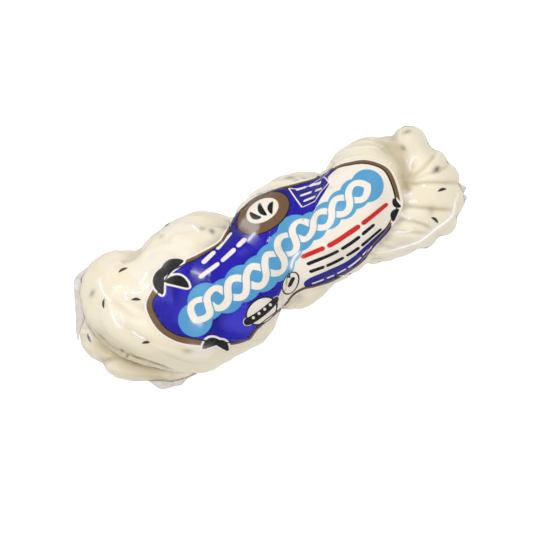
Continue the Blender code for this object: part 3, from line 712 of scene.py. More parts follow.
def made_piece(name):
    """A piece that an earlier operator made."""
    if name not in bpy.data.objects:
        raise RuntimeError(f"{name} isn't there yet: run its operator first")
    return bpy.data.objects[name]


def turn_at(x):
    table = [(at, -(FIRST_QUARTER + i) * math.pi / 2) for i, at in enumerate(QUARTER_TURNS_AT)]
    nearby = [x + TURN_EASING * share for share in (-1, -0.5, 0, 0.5, 1)]
    return sum(between(table, place) for place in nearby) / len(nearby)


def ply_stations(xs, side):
    """Stations along one ply: its middle, outward and sideways directions, and its girth."""
    stations = []
    for x in xs:
        angle = turn_at(x) + (0 if side > 0 else math.pi)
        girth = between(GIRTH_AT, x)
        out = Vector((0, math.cos(angle), math.sin(angle)))
        sideways = Vector((0, -math.sin(angle), math.cos(angle))) * side
        stations.append((Vector((x, 0, 0)) + out * PLY_OFFSET * girth, out, sideways, girth))
    return stations


def loop_stations():
    bend = smooth_through(LOOP, LOOP_STEP)
    stations = []
    for before, here, after in zip(bend, bend[1:], bend[2:]):
        along = after - before
        out = Vector((along.y, -along.x, 0)).normalized()
        stations.append((here.xyz, out, Vector((0, 0, 1)), here.w))
    return stations


def bundle_stations():
    """The folded bundle: in along the upper ply, round the fold and out along the lower."""
    count = round((ROPE_RIGHT - ROPE_LEFT) / BUNDLE_STEP)
    xs = [ROPE_LEFT + (ROPE_RIGHT - ROPE_LEFT) * i / count for i in range(count + 1)]
    return ply_stations(xs[::-1], 1) + loop_stations() + ply_stations(xs, -1)


def twists(stations):
    turns = [0.0]
    for (here, *_), (after, *_) in zip(stations, stations[1:]):
        rate = LOOP_TWIST_PER_MM if here.x < ROPE_LEFT else TWIST_PER_MM
        turns.append(turns[-1] - math.radians(rate) * (after - here).length)
    return turns


def bundle_tubes():
    """The bundle's strands and the cores that fill it, each as a path and its radii."""
    stations = bundle_stations()
    turns = twists(stations)
    rng = random.Random(RANDOM_SEED)
    tubes = []
    for k in range(STRANDS):
        start = math.tau * k / STRANDS + rng.uniform(-UNEVEN_START, UNEVEN_START)
        thick = STRAND_RADIUS * rng.uniform(THINNEST, THICKEST)
        path = []
        for (middle, out, sideways, girth), twist in zip(stations, turns):
            angle = start + twist
            outward = out * (PLY_ACROSS - thick) * math.cos(angle)
            path.append(middle + (outward + sideways * (PLY_ALONG - thick) * math.sin(angle)) * girth)
        tubes.append((path, [thick * girth for *_, girth in stations]))
    for k in range(CORES):
        shift = (k - (CORES - 1) / 2) * CORE_SPACING
        path = [middle + sideways * shift * girth for middle, _, sideways, girth in stations]
        tubes.append((path, [CORE_RADIUS * girth for *_, girth in stations]))
    return tubes


def single_tubes():
    """The single strands and the core on the axis."""
    tubes = []
    for points in SINGLE:
        path = smooth_through(points, STEP)
        tubes.append(([point.xyz for point in path], [point.w for point in path]))
    axis = [Vector((x, 0, 0)) for x in range(AXIS_CORE_LEFT, AXIS_CORE_RIGHT, round(STEP))]
    tubes.append((axis, [AXIS_CORE_RADIUS * between(GIRTH_AT, p.x) for p in axis]))
    return tubes


def fan_tubes():
    """Half rings that leave the front of the rope, pass over its end and come back behind."""
    middle = (FAN_TOP + FAN_BOTTOM) / 2
    tubes = []
    for start, end, thick in FAN:
        path, radii = [], []
        for i in range(FAN_POINTS):
            around = math.pi * i / (FAN_POINTS - 1)
            reach = math.sin(around) ** FAN_REACH_POWER
            radius = FAN_ROOT_RADIUS + (thick - FAN_ROOT_RADIUS) * reach
            drop = math.cos(around)
            rise = math.copysign(abs(drop) ** FAN_HEIGHT_POWER, drop)
            height = middle + rise * (FAN_TOP - middle - radius)
            flat = Vector(start).lerp(Vector(end), reach)
            path.append(Vector((flat.x, flat.y, height)))
            radii.append(radius)
        tubes.append((path, radii))
    return tubes


def strand_mesh(tubes):
    """The tubes as one mesh of closed shells that overlap."""
    data = bpy.data.curves.new("strands", "CURVE")
    data.dimensions = "3D"
    data.bevel_depth = 1.0
    data.bevel_resolution = 8
    data.use_fill_caps = True
    for path, radii in tubes:
        spline = data.splines.new("POLY")
        spline.points.add(len(path) - 1)
        for point, place, radius in zip(spline.points, path, radii):
            point.co = (*place, 1)
            point.radius = radius
    return mesh_from_curve(link("strands", data))


def kept_width(places):
    """The places with the rope's width eased to its outline, above the axis and below."""
    xs = places[:, 0]
    shares = []
    for table in (KEPT_ABOVE, KEPT_BELOW):
        path = smooth_through(table, LINE_STEP)
        shares.append(np.interp(xs, [p.x for p in path], [p.y for p in path]))
    above = np.clip(places[:, 1] / AXIS_BLEND + 0.5, 0, 1)
    places[:, 1] *= shares[0] * above + shares[1] * (1 - above)
    return places


def melted_rope(voxel, rounds, calm, film_gap):
    """The strands as one soft body, pressed flat and resting on its flat underside."""
    rope = link("cheese", strand_mesh(bundle_tubes() + single_tubes() + fan_tubes()))
    remesh = rope.modifiers.new("fuse", "REMESH")
    remesh.mode = "VOXEL"
    remesh.voxel_size = voxel
    add_smoothing(rope, rounds)
    apply_modifiers(rope)
    if not rope.data.polygons:
        raise RuntimeError("the strands didn't melt into a body: the voxel size doesn't suit them")
    write_places(rope.data, kept_width(read_rows(rope.data, "co")))
    places, normals = places_and_normals(rope.data)
    places = calmed(rope.data, places, normals, calm)
    write_places(rope.data, places)
    normals = read_rows(rope.data, "normal")
    places -= normals * lines_profile(places, normals, CREASES)[:, None]
    places[:, 2] *= PRESSED
    places[:, 2] = np.maximum(places[:, 2], REST_HEIGHT + film_gap)
    write_places(rope.data, places)
    return rope


def reaches(path):
    """How far along the path each of its points lies."""
    steps = np.linalg.norm(np.diff(np.array(path, float), axis=0), axis=1)
    return np.concatenate(([0.0], np.cumsum(steps)))


def line_gaps(spots, path):
    """Distance from each spot to an open path, and how far along it the nearest point lies, 0 to 1."""
    path = np.array(path, float)
    starts = reaches(path)
    lengths = np.maximum(np.diff(starts), TINY)
    nearest, share = np.full(len(spots), np.inf), np.zeros(len(spots))
    for a, b, length, start in zip(path, path[1:], lengths, starts):
        along = (spots - a) @ (b - a) / length**2
        along = np.clip(along, 0, 1)
        gap = ((spots - a - along[:, None] * (b - a)) ** 2).sum(axis=1)
        closer = gap < nearest
        nearest[closer] = gap[closer]
        share[closer] = (start + along[closer] * length) / starts[-1]
    return np.sqrt(nearest), share


def lines_profile(places, normals, lines):
    """Depth at each place of the creases drawn over the front, fading towards their ends."""
    depths = np.zeros(len(places))
    front = np.flatnonzero(normals[:, 2] > 0)
    spots = places[front, :2]
    for path, depth, width in lines:
        fine = line_points(path, LINE_STEP)
        reach = LINE_REACH * width
        low, high = np.min(fine, axis=0) - reach, np.max(fine, axis=0) + reach
        near = ((spots > low) & (spots < high)).all(axis=1)
        gaps, share = line_gaps(spots[near], fine)
        ends = np.clip(np.minimum(share, 1 - share) / LINE_FADE, 0, 1)
        depths[front[near]] += depth * ends / np.cosh(gaps / width * LINE_STEEPNESS)
    return depths


def calmed(mesh, places, normals, rounds):
    """The places with the strands' ridges eased on the front, away from the valleys."""
    weight = np.clip((normals[:, 2] - CALM_FROM) / (CALM_TO - CALM_FROM), 0, 1)
    for path in VALLEYS:
        gaps, _ = line_gaps(places[:, :2], line_points(path, VALLEY_STEP))
        weight *= np.clip(gaps / VALLEY_REACH, 0, 1)
    return places + (softened_places(mesh, rounds) - places) * weight[:, None]


def shrink_film(mesh, bridge, rounds, gap):
    """Draw the film onto the cheese: it spans the grooves, and is taut under the print."""
    places, normals = places_and_normals(mesh)
    lift = np.clip(depth_below_softened(mesh, places, normals, bridge), 0, BRIDGED)
    outline = smooth_outline(PRINT_OUTLINE, OUTLINE_STEP)
    inside = Artboard(places, surface_of(mesh)).inside(outline, reach=PRINT_EASING)
    near = np.flatnonzero((inside > -PRINT_EASING) & (normals[:, 2] > 0))
    inside = inside[near] / PRINT_EASING
    taut = np.clip(inside + 1, 0, 1) * np.clip(normals[near, 2] / UPWARD + inside, 0, 1)
    places += normals * (lift + gap)[:, None]
    heights = stretched_height(surface_of(mesh), places[near, :2], rounds)
    places[near, 2] += np.maximum(heights + gap - places[near, 2], 0) * taut
    write_places(mesh, places)


def finer_near(mesh, lines):
    """Split the faces of the front that lie near the lines."""
    with edited(mesh) as edit:
        middles = np.array([face.calc_center_median() for face in edit.faces])
        front = np.array([face.normal.z > 0 for face in edit.faces])
        near = np.zeros(len(middles), bool)
        for path, _, width in lines:
            gaps, _ = line_gaps(middles[:, :2], line_points(path, LINE_STEP))
            near |= gaps < LINE_REACH * width
        edit.faces.ensure_lookup_table()
        edges = {edge for i in np.flatnonzero(near & front) for edge in edit.faces[i].edges}
        bmesh.ops.subdivide_edges(edit, edges=list(edges), cuts=1, smooth=1.0, use_grid_fill=True)


def seed_spots(surface):
    """Where each seed lies: its place, the surface's normal and the seed's heading."""
    spots = []
    for x, y, degrees in SHOWN_SEEDS:
        place, normal = seen_from_above(surface, x, y)
        heading = Vector((math.cos(math.radians(degrees)), math.sin(math.radians(degrees)), 0))
        spots.append((place, normal, heading))
    rng = random.Random(RANDOM_SEED)
    first, last = OTHER_SEEDS_ARC
    for i in range(OTHER_SEEDS):
        x = OTHER_SEEDS_LEFT + (OTHER_SEEDS_RIGHT - OTHER_SEEDS_LEFT) * (i + 0.5) / OTHER_SEEDS
        around = math.radians(first + (last - first) * (i * GOLDEN_ANGLE / 360 % 1))
        out = Vector((0, math.cos(around), math.sin(around)))
        heading = Vector((rng.uniform(-1, 1), rng.uniform(-1, 1), rng.uniform(-1, 1)))
        place, normal, _, _ = surface.ray_cast(Vector((x, 0, 0)) + out * FAR, -out)
        if place.z > LOWEST_SEED:
            spots.append((place, normal, heading))
    return spots


def lay_seed(edit, place, normal, heading, half_length, half_width):
    """A ridged, tapered and slightly bent seed, sunk into the surface along its heading."""
    along = (heading - normal * heading.dot(normal)).normalized()
    turned_to = Matrix((along, normal.cross(along), normal)).transposed().to_4x4()
    made = bmesh.ops.create_uvsphere(
        edit, u_segments=10, v_segments=8, radius=1, matrix=Matrix.Rotation(math.pi / 2, 4, "Y")
    )
    for vert in made["verts"]:
        x, y, z = vert.co
        ridge = 1.0 + SEED_RIDGE_HEIGHT * math.cos(SEED_RIDGES * math.atan2(z, y))
        half = half_width * (1 - SEED_TAPER * x * x) * ridge
        vert.co = (x * half_length, y * half + SEED_BEND * (1 - x * x), z * half)
    laid = Matrix.Translation(place - normal * SEED_SUNK) @ turned_to
    bmesh.ops.transform(edit, matrix=laid, verts=made["verts"])


def buried_shade(surface, places):
    """How strongly a seed under the surface greys each place, from 0 to 1."""
    shade = np.zeros(len(places))
    for x, y, degrees, strength in BURIED_SEEDS:
        place, _ = seen_from_above(surface, x, y)
        gap = places - np.array(place)
        heading = math.radians(degrees)
        along = gap[:, 0] * math.cos(heading) + gap[:, 1] * math.sin(heading)
        across = np.sqrt(np.maximum((gap**2).sum(axis=1) - along**2, 0))
        far = (along / BURIED_HALF_LENGTH) ** 2 + (across / BURIED_HALF_WIDTH) ** 2
        shade = np.maximum(shade, strength * np.exp(-far))
    return shade


def encloses(outline, spots):
    inside = np.zeros(len(spots), bool)
    for (ax, ay), (bx, by) in zip(outline, np.roll(outline, -1, axis=0)):
        if ay == by:
            continue
        crosses = (ay > spots[:, 1]) != (by > spots[:, 1])
        inside ^= crosses & (spots[:, 0] < (bx - ax) * (spots[:, 1] - ay) / (by - ay) + ax)
    return inside


class Artboard:
    """Distances, in millimetres, from points of the print to the edges of its shapes."""

    def __init__(self, places, surface):
        self.surface = surface
        self.spots = self.unrolled(places)
        self.blank = np.full(len(self.spots), -FARTHEST)

    def unrolled(self, places):
        return np.column_stack((places[:, 0], ART_RADIUS * np.arctan2(places[:, 1], places[:, 2])))

    def laid(self, outline):
        """Points seen from above, laid on the surface and unrolled; past its side they go on round it."""
        landed, beyond = [], []
        for x, y in outline:
            place, _ = seen_from_above(self.surface, x, y)
            over = 0.0
            if place is None:
                place, _, _, gap = self.surface.find_nearest(Vector((x, y, 0)))
                place = Vector((x, place.y, place.z))
                over = math.copysign(gap, y)
            landed.append(place)
            beyond.append(over)
        laid = self.unrolled(np.array(landed))
        laid[:, 1] += beyond
        return laid

    def near(self, path, reach):
        low, high = path.min(axis=0) - reach, path.max(axis=0) + reach
        return ((self.spots > low) & (self.spots < high)).all(axis=1)

    def inside(self, outline, reach=FARTHEST):
        path = self.laid(outline)
        chosen = self.near(path, reach)
        gaps, _ = line_gaps(self.spots[chosen], np.vstack((path, path[:1])))
        result = self.blank.copy()
        result[chosen] = np.where(encloses(path, self.spots[chosen]), gaps, -gaps)
        return result

    def stroke(self, path, half_width):
        laid = self.laid(path)
        chosen = self.near(laid, FARTHEST + half_width)
        result = self.blank.copy()
        gaps, _ = line_gaps(self.spots[chosen], laid)
        result[chosen] = half_width - gaps
        return result


def turned(outline, x, y, degrees):
    """The outline turned and then moved to (x, y)."""
    turn = math.radians(degrees)
    ahead, aside = math.cos(turn), math.sin(turn)
    return [(x + a * ahead - b * aside, y + a * aside + b * ahead) for a, b in outline]


def oval(x, y, half_length, half_width, degrees, points=40):
    angles = [math.tau * i / points for i in range(points)]
    return turned([(half_length * math.cos(a), half_width * math.sin(a)) for a in angles], x, y, degrees)


def caraway(x, y, length, width, degrees, points=13):
    """The outline of a bent seed with pointed ends."""
    upper, lower = [], []
    for i in range(points):
        share = i / (points - 1)
        along = length * (share - 0.5)
        arch = CARAWAY_ARCH * length * (4 * (share - share**2) - 0.5)
        half = width / 2 * math.sin(math.pi * share) ** CARAWAY_POINTED + CARAWAY_BLUNT
        upper.append((along, arch + half))
        lower.append((along, arch - half))
    return turned(upper + lower[::-1], x, y, degrees)


def smooth_outline(points, step):
    """A smooth closed outline through the points."""
    ring = [points[-1], *points, points[0], points[1]]
    path = smooth_through(ring, step)
    first = min(range(len(path)), key=lambda i: (path[i] - Vector(points[0])).length)
    last = max(i for i in range(len(path)) if (path[i] - Vector(points[0])).length < TINY)
    return [tuple(p) for p in path[first:last]]


def bars_along(path, lengths, gap):
    """The path cut into bars of these lengths, scaled to fill it."""
    fine = line_points(path, FINE_STEP)
    reach = reaches(fine)
    scale = (reach[-1] - gap * (len(lengths) - 1)) / sum(lengths)
    bars, start = [], 0.0
    for length in lengths:
        stop = start + length * scale
        bars.append([p for p, at in zip(fine, reach) if start <= at <= stop + BAR_SLACK])
        start = stop + gap
    return [bar for bar in bars if len(bar) > 1]


def design_layers(board):
    """Each colour of the print as distances inside its shapes."""
    edge = board.inside(smooth_outline(PRINT_OUTLINE, OUTLINE_STEP), reach=EDGE_REACH)
    rim_at, rim_widths = zip(*RIM_WIDTH_AT)
    rim = np.interp(board.spots[:, 0], rim_at, rim_widths)
    disc = board.inside(oval(*DISC))
    pennant = board.inside(PENNANT)
    motifs = np.maximum.reduce([board.inside(caraway(*seed)) for seed in RIM_SEEDS])
    seal, stamp = board.inside(oval(*SEAL)), board.inside(oval(*STAMP))
    plate = board.stroke(SEAL_PLATE, SEAL_PLATE_HALF_WIDTH)
    shapes = {
        "milk": [board.inside(smooth_outline(MILK_FIELD, OUTLINE_STEP), reach=EDGE_REACH), HALO - edge],
        "band": [board.inside(oval(x, y, radius, radius, 0)) for x, y, radius in BAND_ROUNDS],
        "navy": [pennant, board.inside(smooth_outline(WEIGHT_FIELD, FIELD_STEP))],
        "brown": [np.minimum(edge - HALO, rim + HALO - edge), disc],
        "white": [
            board.inside(oval(*DISC_WINDOW)),
            FINE_LINE - np.abs(pennant),
            motifs + MOTIF_RIM,
            twist_motif(board),
            seal,
            plate + FINE_LINE,
            stamp,
        ],
        "black": [
            FINE_LINE - np.abs(edge - HALO - rim),
            FINE_LINE - np.abs(disc),
            FINE_LINE - np.abs(seal),
            FINE_LINE - np.abs(stamp),
            motifs,
            plate,
            board.stroke(STAMP_BAR, STAMP_BAR_HALF_WIDTH),
            *(board.inside(caraway(*seed)) for seed in DISC_SEEDS),
        ],
        "red": [],
        "dots": [board.inside(oval(*dot)) for dot in SEAL_DOTS],
        "edge": [edge, motifs + MOTIF_RIM],
    }
    for path, half_width, colour, lengths in BAR_ROWS:
        for bar in bars_along(path, lengths, BAR_GAP + half_width * BAR_GAP_PER_HALF_WIDTH):
            shapes[colour].append(board.stroke(bar, half_width))
    return {colour: np.maximum.reduce(distances) for colour, distances in shapes.items()}


def twist_motif(board):
    """Two white strokes that wind round each other along the band, each in turn on top."""
    middles = smooth_through([(x, y) for x, y, _ in BAND_ROUNDS], TWIST_STEP)
    widths = [(x, radius) for x, _, radius in BAND_ROUNDS]
    reach = reaches(middles)
    stop = reach[-1]
    crossings = round(stop / TWIST_CROSSING)
    strokes = []
    for side in (1, -1):
        path = []
        for i, (middle, at) in enumerate(zip(middles, reach)):
            before, after = middles[max(i - 1, 0)], middles[min(i + 1, len(middles) - 1)]
            along = (after - before).normalized()
            across = Vector((-along.y, along.x))
            turn = math.sin(math.pi * crossings * at / stop)
            bulge = math.copysign(abs(turn) ** TWIST_BULGE, turn)
            swing = side * TWIST_SWING * between(widths, middle.x) * bulge
            path.append(tuple(middle + across * swing))
        strokes.append(board.stroke(path, TWIST_HALF_WIDTH))
    first, second = strokes
    share = np.interp(board.spots[:, 0], [middle.x for middle in middles], reach) * crossings / stop
    first_on_top = np.round(share) % 2 == 0
    cut_first = np.minimum(first, -(second + TWIST_GAP))
    cut_second = np.minimum(second, -(first + TWIST_GAP))
    wound = np.where(first_on_top, np.maximum(first, cut_second), np.maximum(second, cut_first))
    ends = (share < TWIST_ENDS) | (share > crossings - TWIST_ENDS)
    return np.where(ends, np.maximum(first, second), wound)


def inked(board):
    """Whether each point of the board lies under the print or close beside it."""
    kept = board.inside(smooth_outline(PRINT_OUTLINE, OUTLINE_STEP)) > -SPARE
    for seed in RIM_SEEDS:
        kept |= board.inside(caraway(*seed)) > -SPARE - MOTIF_RIM
    return kept & (np.abs(board.spots[:, 1]) < ART_REACH)


def keep_finer(mesh, kept):
    """Keep these vertices of the mesh, and split its edges once."""
    with edited(mesh) as edit:
        loose = [vert for vert, keep in zip(edit.verts, kept) if not keep]
        bmesh.ops.delete(edit, geom=loose, context="VERTS")
        bmesh.ops.subdivide_edges(edit, edges=edit.edges, cuts=1, use_grid_fill=True)


def resampled(points, count):
    """The path through the points as this many points, evenly spread."""
    fine = smooth_through(points, FINE_STEP)
    reach = reaches(fine)
    spread = np.linspace(0, reach[-1], count)
    columns = [np.interp(spread, reach, [p[axis] for p in fine]) for axis in range(len(fine[0]))]
    return [Vector(row) for row in zip(*columns)]


def fringe_mesh(outer, inner, height, crimp):
    """A thin wavy sheet between two edges, ragged along the outer one."""
    outer_path, inner_path = resampled(outer, FRINGE_COLUMNS + 1), resampled(inner, FRINGE_COLUMNS + 1)
    edit = bmesh.new()
    bmesh.ops.create_grid(edit, x_segments=FRINGE_COLUMNS, y_segments=FRINGE_ROWS, size=0.5)
    for vert in edit.verts:
        column = round((vert.co.x + 0.5) * FRINGE_COLUMNS)
        share = vert.co.y + 0.5
        ragged = 1 + RAGGED * noise.noise(Vector((column * RAGGED_SCALE, height, 0))) * share
        flat = inner_path[column].lerp(outer_path[column], share * min(ragged, 1.0))
        spot = Vector((flat.x * WAVE_SCALE, flat.y * WAVE_SCALE, height))
        wave = noise.noise(spot) + FINE_WAVE_SHARE * noise.noise(spot * FINE_WAVE)
        vert.co = (flat.x, flat.y, height + crimp * wave * (INNER_WAVE + share))
    return mesh_from_edit(edit, "fringe")


def lay_floor(look):
    edit = bmesh.new()
    bmesh.ops.create_grid(edit, x_segments=1, y_segments=1, size=FLOOR_SIZE)
    floor = link("floor", mesh_from_edit(edit, "floor"))
    floor.data.materials.append(floor_finish(look))


def soft_world(strength):
    world = bpy.data.worlds.new("studio")
    world.use_nodes = True
    sky = world.node_tree.nodes["Background"]
    sky.inputs["Color"].default_value = (1, 1, 1, 1)
    sky.inputs["Strength"].default_value = strength
    return world


def hang_lights(middle):
    """The lights, all aimed at this place."""
    for name, shift, height, size, power in LIGHTS:
        lamp = bpy.data.lights.new(name, "AREA")
        lamp.shape = "SQUARE"
        lamp.size = size
        lamp.energy = power
        light = link(name, lamp)
        light.location = middle + Vector((*shift, height))
        light.rotation_euler = (middle - light.location).to_track_quat("-Z", "Y").to_euler()


def camera_over(middle, look):
    """The camera, straight above this place and turned by the roll."""
    shot = bpy.data.cameras.new("camera")
    shot.lens = look.lens
    shot.sensor_width = SENSOR_WIDTH
    shot.clip_start = 0.01
    camera = link("camera", shot)
    camera.location = middle + Vector((0, 0, look.frame_width * look.lens / SENSOR_WIDTH))
    camera.rotation_euler = (0, 0, look.roll)
    return camera


def cheese_finish(look):
    """Cream with painted shade in the grooves and valleys, and a fine grain along the strands."""
    made = Finish("cheese")
    mottle = made.noise(scale=90, detail=3.0, roughness=0.55)
    grain = made.noise(scale=420, detail=2.0, roughness=0.6, stretch=(0.35, 1.0, 1.0))
    base = made.mix(look.cream, look.cream_dark, mottle.over(0.42, gain=1.6))
    # painted shade deep in the grooves and in the wide valleys; the buried seeds are seeds seen through the
    # cheese
    for name, share in (("hollow", 0.8), ("groove", 0.75), ("buried", 0.8)):
        base = made.mix(base, getattr(look, name), made.attribute(name) * share)
    sockets = {
        "Base Color": base,
        "Roughness": 0.4,
        "Specular IOR Level": 0.3,
        "Subsurface Weight": look.glow,
        "Subsurface Radius": (1.0, 0.72, 0.45),
        "Subsurface Scale": 0.0025,
        "Normal": made.bump(mottle * 0.7 + grain * 0.3, distance=0.0004, strength=0.5),
    }
    return made.finished(made.principled(sockets))


def seed_finish(look):
    """Nearly black, with paler ridges."""
    made = Finish("caraway")
    streak = made.noise(scale=900, detail=2.0, roughness=0.6)
    sockets = {
        "Base Color": made.mix(look.ink, look.ridge, streak.over(0.5, gain=1.5)),
        "Roughness": 0.55,
        "Normal": made.bump(streak, distance=0.0002, strength=0.6),
    }
    return made.finished(made.principled(sockets))


def film_finish(look):
    """Clear and glossy, with painted white glints along the folds and a painted soft sheen round them and on
    the crests.
    """
    made = Finish("film")
    ripple = made.noise(scale=170, detail=3.0, roughness=0.6, stretch=(0.55, 1.0, 1.0), distortion=0.8)
    broad = made.noise(scale=45, detail=2.0, roughness=0.5)
    normal = made.bump(ripple * 0.35 + broad * 0.65, distance=0.0012, strength=0.5)
    clear = made.add("ShaderNodeBsdfTransparent", None, {"Color": (0.985, 0.985, 0.98)})
    gloss = made.principled({"Base Color": look.haze, "Metallic": 1.0, "Roughness": 0.1, "Normal": normal})
    sheen = made.add("ShaderNodeFresnel", None, {"IOR": 1.25, "Normal": normal})
    smooth = made.layered(clear, gloss, sheen.clamped())
    # painted highlight: a matte white layer that stands in for the film's glints and sheen
    painted_sheen = made.principled({"Base Color": look.haze, "Roughness": 0.3})
    # painted glints along the folds, rippled, and painted sheen round them and on the crests
    folded = made.attribute("crease") * CREASE_COVER * (ripple + LEAST_RIPPLE)
    cover = folded + made.attribute("glare") * GLARE_COVER
    return made.finished(made.layered(smooth, painted_sheen, cover.clamped()))


def fringe_finish(look):
    """Several plies of crumpled film: greyish, half clear, with white creases."""
    made = Finish("fringe_film")
    crease = made.noise(scale=150, detail=3.0, roughness=0.6, stretch=(1.0, 0.5, 1.0), distortion=0.6)
    normal = made.bump(crease, distance=0.001, strength=0.5)
    clear = made.add("ShaderNodeBsdfTransparent", None, {"Color": (0.88, 0.865, 0.85)})
    sockets = {
        # white where the crease noise runs high
        "Base Color": made.mix(look.fringe, look.haze, crease.over(0.6, gain=6)),
        "Roughness": 0.22,
        "Specular IOR Level": 0.6,
        "Normal": normal,
    }
    sheen = made.add("ShaderNodeLayerWeight", None, {"Blend": 0.3, "Normal": normal})
    cover = sheen * FRINGE_SHEEN + crease.over(0.45, gain=0.7) + FRINGE_COVER
    return made.finished(made.layered(clear, made.principled(sockets), cover.clamped()))


def print_finish(look):
    """Fields of ink, each drawn where its distance attribute is above 0."""
    made = Finish("print")
    shade = made.noise(scale=48, detail=2.0)
    colour = made.mix(look.blue, look.blue_dark, shade.over(0.42, gain=3.0))
    # painted highlight: paler waves in the blue field where its folds would catch the light
    waves = made.noise(scale=52, detail=1.5, stretch=(1.5, 0.6, 1.0), distortion=0.5)
    colour = made.mix(colour, look.blue_pale, waves.over(0.56, gain=4))
    shade = made.noise(scale=35, detail=1.0)
    sky = made.mix(look.sky, look.sky_dark, shade.over(0.35, gain=1.6))
    inks = {
        "milk": look.milk,
        "band": sky,
        "navy": look.navy,
        "brown": look.brown,
        "white": look.milk,
        "black": look.black,
        "red": look.red,
        "dots": look.milk,
    }
    for name, ink in inks.items():
        colour = made.mix(colour, ink, made.attribute(name).edge(INK_SOFTNESS))
    sockets = {
        "Base Color": colour,
        "Roughness": 0.4,
        "Specular IOR Level": 0.05,
        "Alpha": made.attribute("edge").edge(INK_SOFTNESS),
        "Normal": made.bump(made.noise(scale=300, detail=2.0), distance=0.0002, strength=0.3),
    }
    return made.finished(made.principled(sockets))


def floor_finish(look):
    """Pale paper that the camera sees lit to white."""
    made = Finish("floor")
    paper = made.add("ShaderNodeBsdfDiffuse", None, {"Color": look.floor})
    lit = made.add("ShaderNodeEmission", None, {"Color": (1, 1, 1), "Strength": FLOOR_GLOW})
    seen = made.add("ShaderNodeLightPath")
    return made.finished(made.layered(paper, lit, seen * FLOOR_GLOW_SHARE))


def colour_property(name, description, default):
    return FloatVectorProperty(
        name=name, description=description, default=default, subtype="COLOR", min=0, max=1
    )


def length_property(name, description, default):
    return FloatProperty(
        name=name, description=description, default=default, unit="LENGTH", min=0, precision=5
    )


def rounds_property(name, description, default):
    return IntProperty(name=name, description=description, default=default, min=0)


class CheeseSettings(bpy.types.PropertyGroup):
    """Shape and colours of the cheese."""

    voxel: length_property("Detail", "Voxel size that melts the strands together", 0.00083)
    soften: rounds_property("Softness", "Rounds of smoothing on the cheese", 9)
    calm: rounds_property("Calming", "Rounds that ease the ridges of the front", 107)
    glow: FloatProperty(
        name="Glow",
        description="Light carried inside the cheese",
        default=0.3,
        min=0,
        max=1,
        subtype="FACTOR",
    )
    cream: colour_property("Cheese", "Main colour of the cheese", srgb(233, 225, 206))
    cream_dark: colour_property("Mottle", "Darker patches of the cheese", srgb(229, 219, 196))
    # painted shade: the colour put deep in the grooves between the strands
    groove: colour_property("Groove shade", "Colour deep between the strands", srgb(204, 189, 155))
    # painted shade: the colour put in the wide valleys between the plies
    hollow: colour_property("Valley shade", "Colour of the wide valleys between the plies", srgb(196, 184, 153))
    buried: colour_property("Buried seeds", "Seeds seen through the cheese", srgb(96, 88, 92))


class SeedSettings(bpy.types.PropertyGroup):
    """Size and colours of the caraway seeds."""

    length: length_property("Length", "Length of a caraway seed", 0.0048)
    width: length_property("Width", "Width of a caraway seed", 0.0015)
    ink: colour_property("Seed", "Main colour of a seed", srgb(26, 22, 24))
    ridge: colour_property("Ridges", "Paler ridges on a seed", srgb(60, 50, 44))


class FilmSettings(bpy.types.PropertyGroup):
    """Fit and colours of the clear film and its fringes."""

    bridge: rounds_property("Bridging", "Rounds that pull the film over grooves", 50)
    taut: rounds_property("Tautness", "Rounds that stretch the printed film", 140)
    gap: length_property("Gap", "Distance from the cheese to the film", 0.0003)
    # tint of the film's gloss, white of its painted glints and sheen, and white of the fringes' creases
    haze: colour_property("Sheen white", "Colour of folded film", srgb(250, 250, 250))
    fringe: colour_property("Fringes", "Colour of the gathered film", srgb(191, 183, 176))
    fringe_thickness: length_property("Fringe thickness", "Thickness of the sealed fringes", 0.00016)
    crimp: length_property("Crimp", "Height of the waves in the fringes", 0.0009)


class PrintSettings(bpy.types.PropertyGroup):
    """Depth and inks of the print."""

    depth: length_property("Depth", "How far the print lies under the film", 0.00012)
    blue: colour_property("Blue", "Main field", srgb(28, 13, 174))
    blue_dark: colour_property("Dark blue", "Deeper patches of the main field", srgb(10, 4, 112))
    blue_pale: colour_property("Pale blue", "Waves of the main field that catch the light", srgb(74, 68, 208))
    # painted highlight: the paler blue of the main field's waves
    navy: colour_property("Navy", "Pennant and lower field", srgb(32, 27, 141))
    sky: colour_property("Sky", "Scalloped band", srgb(93, 165, 202))
    sky_dark: colour_property("Deep sky", "Darker patches of the band", srgb(66, 139, 196))
    milk: colour_property("White", "White field, strokes and rims", srgb(232, 225, 215))
    brown: colour_property("Brown", "Rim and disc", srgb(119, 89, 60))
    black: colour_property("Black", "Motifs and bars", srgb(18, 17, 22))
    red: colour_property("Red", "Red bars", srgb(200, 41, 32))


class StageSettings(bpy.types.PropertyGroup):
    """Floor, light and camera."""

    floor: colour_property("Floor", "Studio floor", srgb(240, 240, 240))
    light: FloatProperty(name="Soft light", description="Strength of the even light", default=1.15, min=0)
    frame_width: length_property("Frame width", "What the camera sees across, at the rope's middle", 0.23985)
    roll: FloatProperty(
        name="Roll", description="Turn of the camera", default=math.radians(-26.5), unit="ROTATION"
    )
    lens: FloatProperty(name="Lens", description="Focal length in millimetres", default=200.0, min=10)


class StringCheeseSettings(bpy.types.PropertyGroup):
    """All the sizes and colours of the pack."""

    cheese: PointerProperty(name="Cheese", description="Shape and colours of the cheese", type=CheeseSettings)
    seeds: PointerProperty(name="Seeds", description="Size and colours of the seeds", type=SeedSettings)
    film: PointerProperty(name="Film", description="Fit and colours of the film", type=FilmSettings)
    print: PointerProperty(name="Print", description="Depth and inks of the print", type=PrintSettings)
    stage: PointerProperty(name="Stage", description="Floor, light and camera", type=StageSettings)


